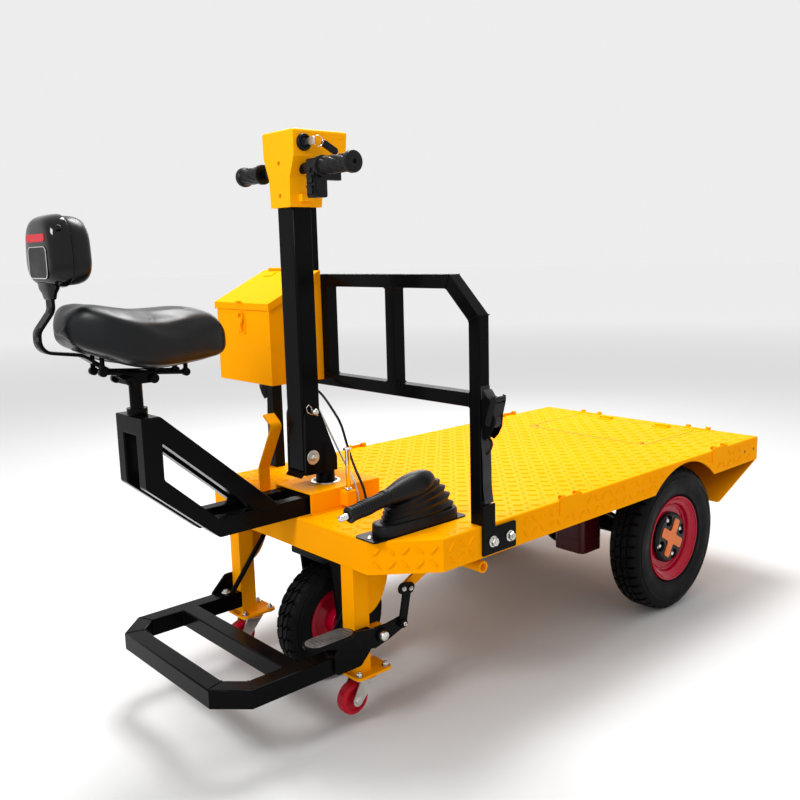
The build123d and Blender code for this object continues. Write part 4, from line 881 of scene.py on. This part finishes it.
def strap(shape, side, path, low, high, thick):
    """Flat strap between two x, along a path of (out, z)."""
    section = ((low, 0), (high, 0), (high, thick), (low, thick))
    shape.skin([[(x, side * (away + out), z) for x, out in section] for away, z in path])


def cross_plate(shape, side, outline, x, thick):
    """Plate across the cart from its outline of (out, z)."""
    shape.prism([(side * a, b) for a, b in outline], (x, 0, 0), Y, Z, thick)


CHEEK = ((398, 614), (398, 694), (407, 703), (418, 699), (427, 684), (432, 662), (430, 640), (420, 622),
         (408, 610))
ARM = ((409, 646), (416, 640), (424, 644), (431, 668), (438, 694), (438, 704), (431, 706), (424, 690))
THUMB = ((425, 660), (429, 658), (436.5, 690), (432.5, 692))


def ratchets():
    webbing, frames, handles, steel = Shape(), Shape(), Shape(), Shape()
    hang = []
    for i in range(50):
        z = 721 - 246 * i / 49
        hang.append((396.6 + 1.4 * sin(z / 17) + 6 * max(560 - z, 0) / 80, z))
    wrap = [(400 + 13 * sin(pi * i / 23) ** 0.8, 668 + 46 * (i / 23)) for i in range(24)]
    for side in (-1, 1):
        spool = (side * 416, 652)
        strap(webbing, side, hang, 232.5, 257.5, 2.2)
        webbing.lathe([(15, -11.5), (16, -9), (16, 9), (15, 11.5)], (245, *spool), X, 36)
        strap(webbing, side, wrap, 233, 257, 2.4)
        for x in (230.5, 256.9):
            cross_plate(frames, side, CHEEK, x, 2.6)
        for x in (228.3, 259.5):
            cross_plate(handles, side, ARM, x, 2.2)
        handles.tube([(x, side * 433.5, 698) for x in (229, 261)], 5.4, 16)
        cross_plate(handles, side, THUMB, 231, 28)
        for z in (617, 693):
            frames.tube([(x, side * 404, z) for x in (231, 259)], 4, 14)
        for x, way in ((230.5, -1), (259.5, 1)):
            steel.lathe([(17.5, -1.2), (18, 0), (17.5, 0.8)], (x - way * 4.4, *spool), way * X, 16)
            steel.bolt((x, *spool), way * X, across=8, head=2, dome=False)
        hook = []
        for i in range(22):
            share = i / 21
            a = pi * (1.25 * share)
            hook.append((245, side * (404 + 9 * sin(a)), 614 - 30 * share + 9 * cos(a) * share))
        steel.tube(hook, 2.6, 10)
    piece("ratchet_webbing", "chassis", "webbing", webbing, sharp=50, stands_for=("strap_ratchets",))
    piece("ratchet_frames", "chassis", "black_paint", frames, bevel=0.8)
    piece("ratchet_handles", "chassis", "black_plastic", handles, bevel=0.8)
    piece("ratchet_steel", "chassis", "black_plastic", steel)


ratchets()


# Toolbox: draw latch under the lid, staple and hinge leaves on the lid, rivets
def toolbox():
    latch = Shape()
    latch.box((73.8, 234, 808), (76.2, 264, 850))
    lever = [(0, 0), (-4, 2), (-9, 14), (-9, 24), (-5.5, 36), (-2, 37), (0, 30)]
    latch.prism(lever, (74, 257, 812), X, Z, 16)
    piece("toolbox_latch", "chassis", "yellow_paint", latch, bevel=0.8)
    loop = Shape()
    bow, middle = [(67, 239.5, 834), (70.5, 239.5, 846), (71.2, 239.5, 855), (71.4, 243, 860.5)], 249
    loop.tube(bow + [(x, 2 * middle - y, z) for x, y, z in bow[::-1]], 2, 10)
    for y, z in ((237, 812), (261, 812), (237, 846), (261, 846)):
        loop.lathe([(2.2, -0.1), (2, 1.2), (1.2, 1.8)], (73.8, y, z), -X, 14)
    piece("toolbox_loop", "chassis", "yellow_paint", loop)
    staple = Shape()
    hoop = ((71.6, 243), (65, 243), (63, 245), (63, 253), (65, 255), (71.6, 255))
    staple.tube([(x, y, 888) for x, y in hoop], 2, 10)
    staple.box((70.4, 238, 876), (72.4, 260, 887))
    lid_front, lid_low, lid_run, lid_rise, hinge_x = 76, 886, 154, 74, 196
    slope = atan2(lid_rise, lid_run)
    along = Vector((cos(slope), 0, sin(slope)))
    for y in (185, 310):
        base = Vector((hinge_x, y, lid_low + (hinge_x - lid_front) * lid_rise / lid_run - 0.6))
        for leaf in ([(0, 0), (22, 0), (22, 1), (0, 1)], [(-1, -17), (21, -17), (21, 17), (-1, 17)]):
            staple.prism(leaf, base, along, Y, 2.2)
    piece("lid_fittings", "toolbox_lid", "yellow_paint", staple, bevel=0.5)
    rivets = Shape()
    for y in (138, 357):
        for z in (705, 780, 855):
            rivets.lathe([(3, -0.2), (2.6, 1), (1.4, 1.6)], (76, y, z), -X, 14)
    piece("toolbox_rivets", "chassis", "yellow_paint", rivets)


toolbox()


# Hand brake: bellows with folds, ribbed grip, chrome button, base screws
BRAKE_Y = -289
BRAKE_BASE = 428


def hand_brake():
    def on_lever(x):
        return Vector((x, BRAKE_Y, 512 - 0.15 * (132 - x)))

    boot = Shape()
    boot.skin([[(142 + a, BRAKE_Y + b, level) for a, b in oval(224 - 2 * inset, 64 - 2 * inset, 64)]
               for level, inset in ((BRAKE_BASE, 0), (446, 1), (449, 3), (449.5, 8))])
    rows, folds, count, around, dip, power = [], 4, 88, 64, 0.1, 0.8
    for i in range(count + 1):
        t = i / count
        swell = 1 - dip * (0.5 + 0.5 * cos(2 * pi * folds * t)) ** 0.7
        reach = (206 - 62 * t ** 1.2) * swell
        half = (31 - 5 * t) * (0.1 + 0.9 * swell)
        tilt = radians(17 * t)
        back = 46 + 16 * t + 8 * (1 - swell) / dip
        ring = []
        for a in angles(around):
            along = reach * (0.5 + 0.5 * signed_power(cos(a), power))
            across = half * signed_power(sin(a), power)
            level = 446 + 34 * t + along * sin(tilt)
            ring.append((back + along * cos(tilt), BRAKE_Y + across, level))
        rows.append(ring)
    boot.skin(rows)
    neck = [(6, -8), (16, 0), (23, 12), (27, 28), (28.5, 48), (28, 66), (25, 86), (21, 104), (18, 118),
            (16.8, 124), (18.2, 126), (18.2, 133), (16, 135)]
    boot.lathe(neck, on_lever(186), on_lever(50) - on_lever(186), 56)
    piece("brake_bellows", "chassis", "rubber", boot, sharp=70, stands_for=("handbrake_boot",))

    axis = (on_lever(-38) - on_lever(52)).normalized()
    grip = Shape()
    profile = [(14, -40), (15, -4), (16.6, -1), (16.8, 1.5)]
    for i in range(64):
        along = 4 + 82 * i / 63
        bulge = 15.2 + 1.6 * sin(pi * along / 91) - 1.1 * sin(pi * along / 45) ** 2
        profile.append((bulge + (0.7 if sin(along * 0.98) > 0 else -0.2), along))
    profile += [(16.9, 87.5), (16.9, 89.5), (15.6, 91), (11, 91), (10, 89.6)]
    grip.lathe(profile, on_lever(52), axis, 48)
    piece("brake_grip", "chassis", "rubber", grip, sharp=60, stands_for=("handbrake_lever",))
    button = Shape()
    button.lathe([(7, -6), (7, 18), (6.6, 20.4), (5, 22.4), (2.4, 23.4)], on_lever(-38), axis, 32)
    piece("brake_button", "chassis", "chrome", button, sharp=50)
    screws = Shape()
    for x in (14, 257):
        screws.lathe([(7, -0.2), (7, 0.8), (6.2, 1.4)], (x, BRAKE_Y, BRAKE_BASE), Z, 24)
        screws.lathe([(5.2, 1.2), (4.8, 3), (3, 4.2)], (x, BRAKE_Y, BRAKE_BASE), Z, 20)
    piece("brake_screws", "chassis", "zinc", screws)


hand_brake()


# Foot brake, foot frame and casters: pads, pins, nuts and weld beads
def foot_end():
    pad = Shape()
    x0, y0, length, width = -75, -259, 110, 45
    pad.prism(oval(length, width, 48), (x0, y0, 231.8), X, Y, 2.2)
    for i in range(11):
        x = x0 - 46 + 9.2 * i
        end = max(abs(x - x0) - 32, 0)
        reach = sqrt((width / 2) ** 2 - end ** 2) - 4
        pad.box((x - 2.2, y0 - reach, 233.5), (x + 2.2, y0 + reach, 236))
    piece("pedal_pad", "chassis", "shell_plastic", pad, bevel=0.8, paint="clear_cover")
    boss = Shape()
    boss.lathe([(15, -0.2), (15, 4), (13.5, 5.4)], (61, -262, 197), -Y, 32)
    link_along, link_up = Vector((1, 0, -0.17)).normalized(), Vector((0.17, 0, 1)).normalized()
    boss.prism(oval(46, 25, 32), (127, -267.8, 284.5), link_along, link_up, 4.2)
    boss.lathe([(10, -0.2), (10, 3), (9, 4)], (118, -268, 207), -Y, 28)
    piece("pedal_boss", "chassis", "black_paint", boss, bevel=0.5)
    pins = Shape()
    pins.lathe([(10.5, 3), (10.5, 11.5), (9.5, 13.2), (7, 14)], (61, -262, 197), -Y, 32)
    for x, z, across, top in ((117, 286.5, 10, 4.5), (137, 282.5, 10, 4.5), (118, 207, 9, 4)):
        pins.bolt((x, -272, z), -Y, across=across, head=top)
    for side in (-1, 1):
        pins.bolt((-36, side * 209, 186), Z, across=12, head=5, washer=22, dome=False)
        for x in (6, 78):
            for y in (side * CASTER_Y - 28, side * CASTER_Y + 28):
                pins.bolt((x, y, 118), Z, across=11, head=6, washer=17)
                pins.bolt((x, y, 112), -Z, across=11, head=5, dome=False)
    piece("foot_bolts", "chassis", "zinc", pins, bevel=0.3, segments=1)


foot_end()


def casters():
    for side, name in SIDES:
        ring = Shape()
        ring.lathe([(26.3, 2), (29, 2.4), (30, 4.5), (29, 7), (26.3, 7.6)], (42, side * CASTER_Y, 100), Z, 44,
                   loop=True)
        piece(f"caster_seal_{name}", f"caster_{name}", "orange_plastic", ring)
        nuts = Shape()
        for way in (-1, 1):
            nuts.bolt((7, side * CASTER_Y + way * 21, 60), way * Y, across=14, head=4, dome=False)
        piece(f"caster_nuts_{name}", f"caster_{name}", "zinc", nuts, bevel=0.3, segments=1)


casters()


def frame_welds():
    seams = Shape()
    for side in (-1, 1):
        for ends in (((-247, 239), (-233.4, 203)), ((-307, 179), (-270, 166.4))):
            seams.bead([(x, side * y, 178) for x, y in ends], 1.5)
        for x in (-155, -115):
            seams.bead([(x, side * 202.6, z) for z in (139, 177)], 1.8)
        seams.bead([(x, side * 244, 178.4) for x in (-53, -10, 3)], 1.8)
        for x in (-44.6, -105.6):
            seams.bead([(x, y, 465.4) for y in sorted((side * 27, side * 57))], 2.2)
        seams.bead([(x, side * 57.2, z) for x, z in ((-45, 465), (-75, 456), (-105, 465))], 1.6)
    piece("frame_welds", "chassis", "black_paint", seams, sharp=80)
    legs = Shape()
    for side in (-1, 1):
        for y in (202.6, 243.4):
            legs.bead([(x, side * y, 118.4) for x in (4, 44)], 2)
        for x in (3.6, 44.4):
            legs.bead([(x, side * y, 118.4) for y in (203, 243)], 2)
    piece("leg_welds", "chassis", "yellow_paint", legs, sharp=80)
    clamp = Shape()
    for x in (-349, -301):
        for side in (-1, 1):
            clamp.lathe([(9.5, -1), (9.5, 7), (8, 9)], (x, side * 30, 767), side * Y, 28)
    for side in (-1, 1):
        for x, z in ((-397, 787), (-227, 771)):
            clamp.lathe([(7.5, -6), (8, -5), (8, 5), (7.5, 6)], (x, side * 22, z), Y, 24)
    piece("saddle_clamp_ends", "chassis", "black_paint", clamp)


frame_welds()


# Wheels: bolts in the hub caps, rings on the rims, nuts on the fork's axle
def wheel_fittings():
    for side, name in SIDES:
        bolts = Shape()
        for quarter in range(4):
            a = radians(90 * quarter + 15)
            spot = (REAR_X + 52 * cos(a), side * 353, REAR_Z + 52 * sin(a))
            bolts.lathe([(9, -0.2), (9, 1), (8.4, 1.6)], spot, side * Y, 28)
            bolts.lathe([(6.6, 1), (6.4, 3.4), (5, 5.4), (2.6, 6.4)], spot, side * Y, 24)
        piece(f"hub_bolts_{name}", f"rear_wheel_{name}", "zinc", bolts, sharp=60)
        rings = Shape()
        for radius, y, thick in ((115, 369.6, 2.6), (101, 351.5, 2.2), (88, 347, 1.8)):
            circle = [(REAR_X + radius * cos(a), side * y, REAR_Z + radius * sin(a)) for a in angles(96)]
            rings.tube(circle, thick, 10, loop=True)
        piece(f"rim_rings_{name}", f"rear_wheel_{name}", "red_paint", rings)
    nuts = Shape()
    for side in (-1, 1):
        nuts.bolt((FRONT_X, side * 62, FRONT_Z), side * Y, across=20, head=8, washer=28, dome=False)
    piece("fork_nuts", "steering", "zinc", nuts, bevel=0.5, segments=1)


wheel_fittings()


# Deck and below: bands of the controller case, U-bolts of the springs, hatch seal and pulls, and black discs
# in the skirt holes as painted shade
def deck_fittings():
    case = Shape()
    for width, length, radius, z, thick in ((91.6, 101.6, 16.8, 205, 2), (92.4, 102.4, 17.2, 356, 6)):
        case.prism(rounded(width, length, radius), (861, -172, z), X, Y, thick)
    piece("case_bands", "chassis", "maroon_plastic", case, bevel=0.6)
    clips = Shape()
    bow = ((-19, 258), (-19, 182), (-13, 172), (13, 172), (19, 182), (19, 258))
    for side in (-1, 1):
        y = side * 246
        for x in (REAR_X - 26, REAR_X + 26):
            clips.tube([(x, y + out, z) for out, z in bow], 4.5, 12)
            for out in (-19, 19):
                clips.bolt((x, y + out, 248), Z, across=15, head=7, dome=False)
    piece("spring_clips", "chassis", "zinc", clips)
    seal = Shape()
    seal.tube([(x, y, 424.3) for x, y in ((1358, -215.5), (1116.5, -215.5), (1116.5, 215.5), (1358, 215.5))],
              1.2, 8)
    piece("hatch_seal", "chassis", "rubber", seal)
    # Painted shade: black discs set into the skirts' holes near the tail, standing in for the shade inside
    # the holes
    holes = Shape()
    for side in (-1, 1):
        for x in (1365, 1418):
            holes.lathe([(4.2, 0), (4.2, 1.4), (3.2, 1.8)], (x, side * 392.4, 390), side * Y, 20)
    piece("skirt_hole_painted_shade", "chassis", "black_plastic", holes)
    pulls = Shape()
    for y in (-196, 196):
        pulls.lathe([(7, -0.2), (7, 0.5), (5.6, 0.9), (5, 0.2)], (1134, y, DECK_TOP), Z, 28)
    piece("hatch_pulls", "hatch", "black_plastic", pulls)


deck_fittings()
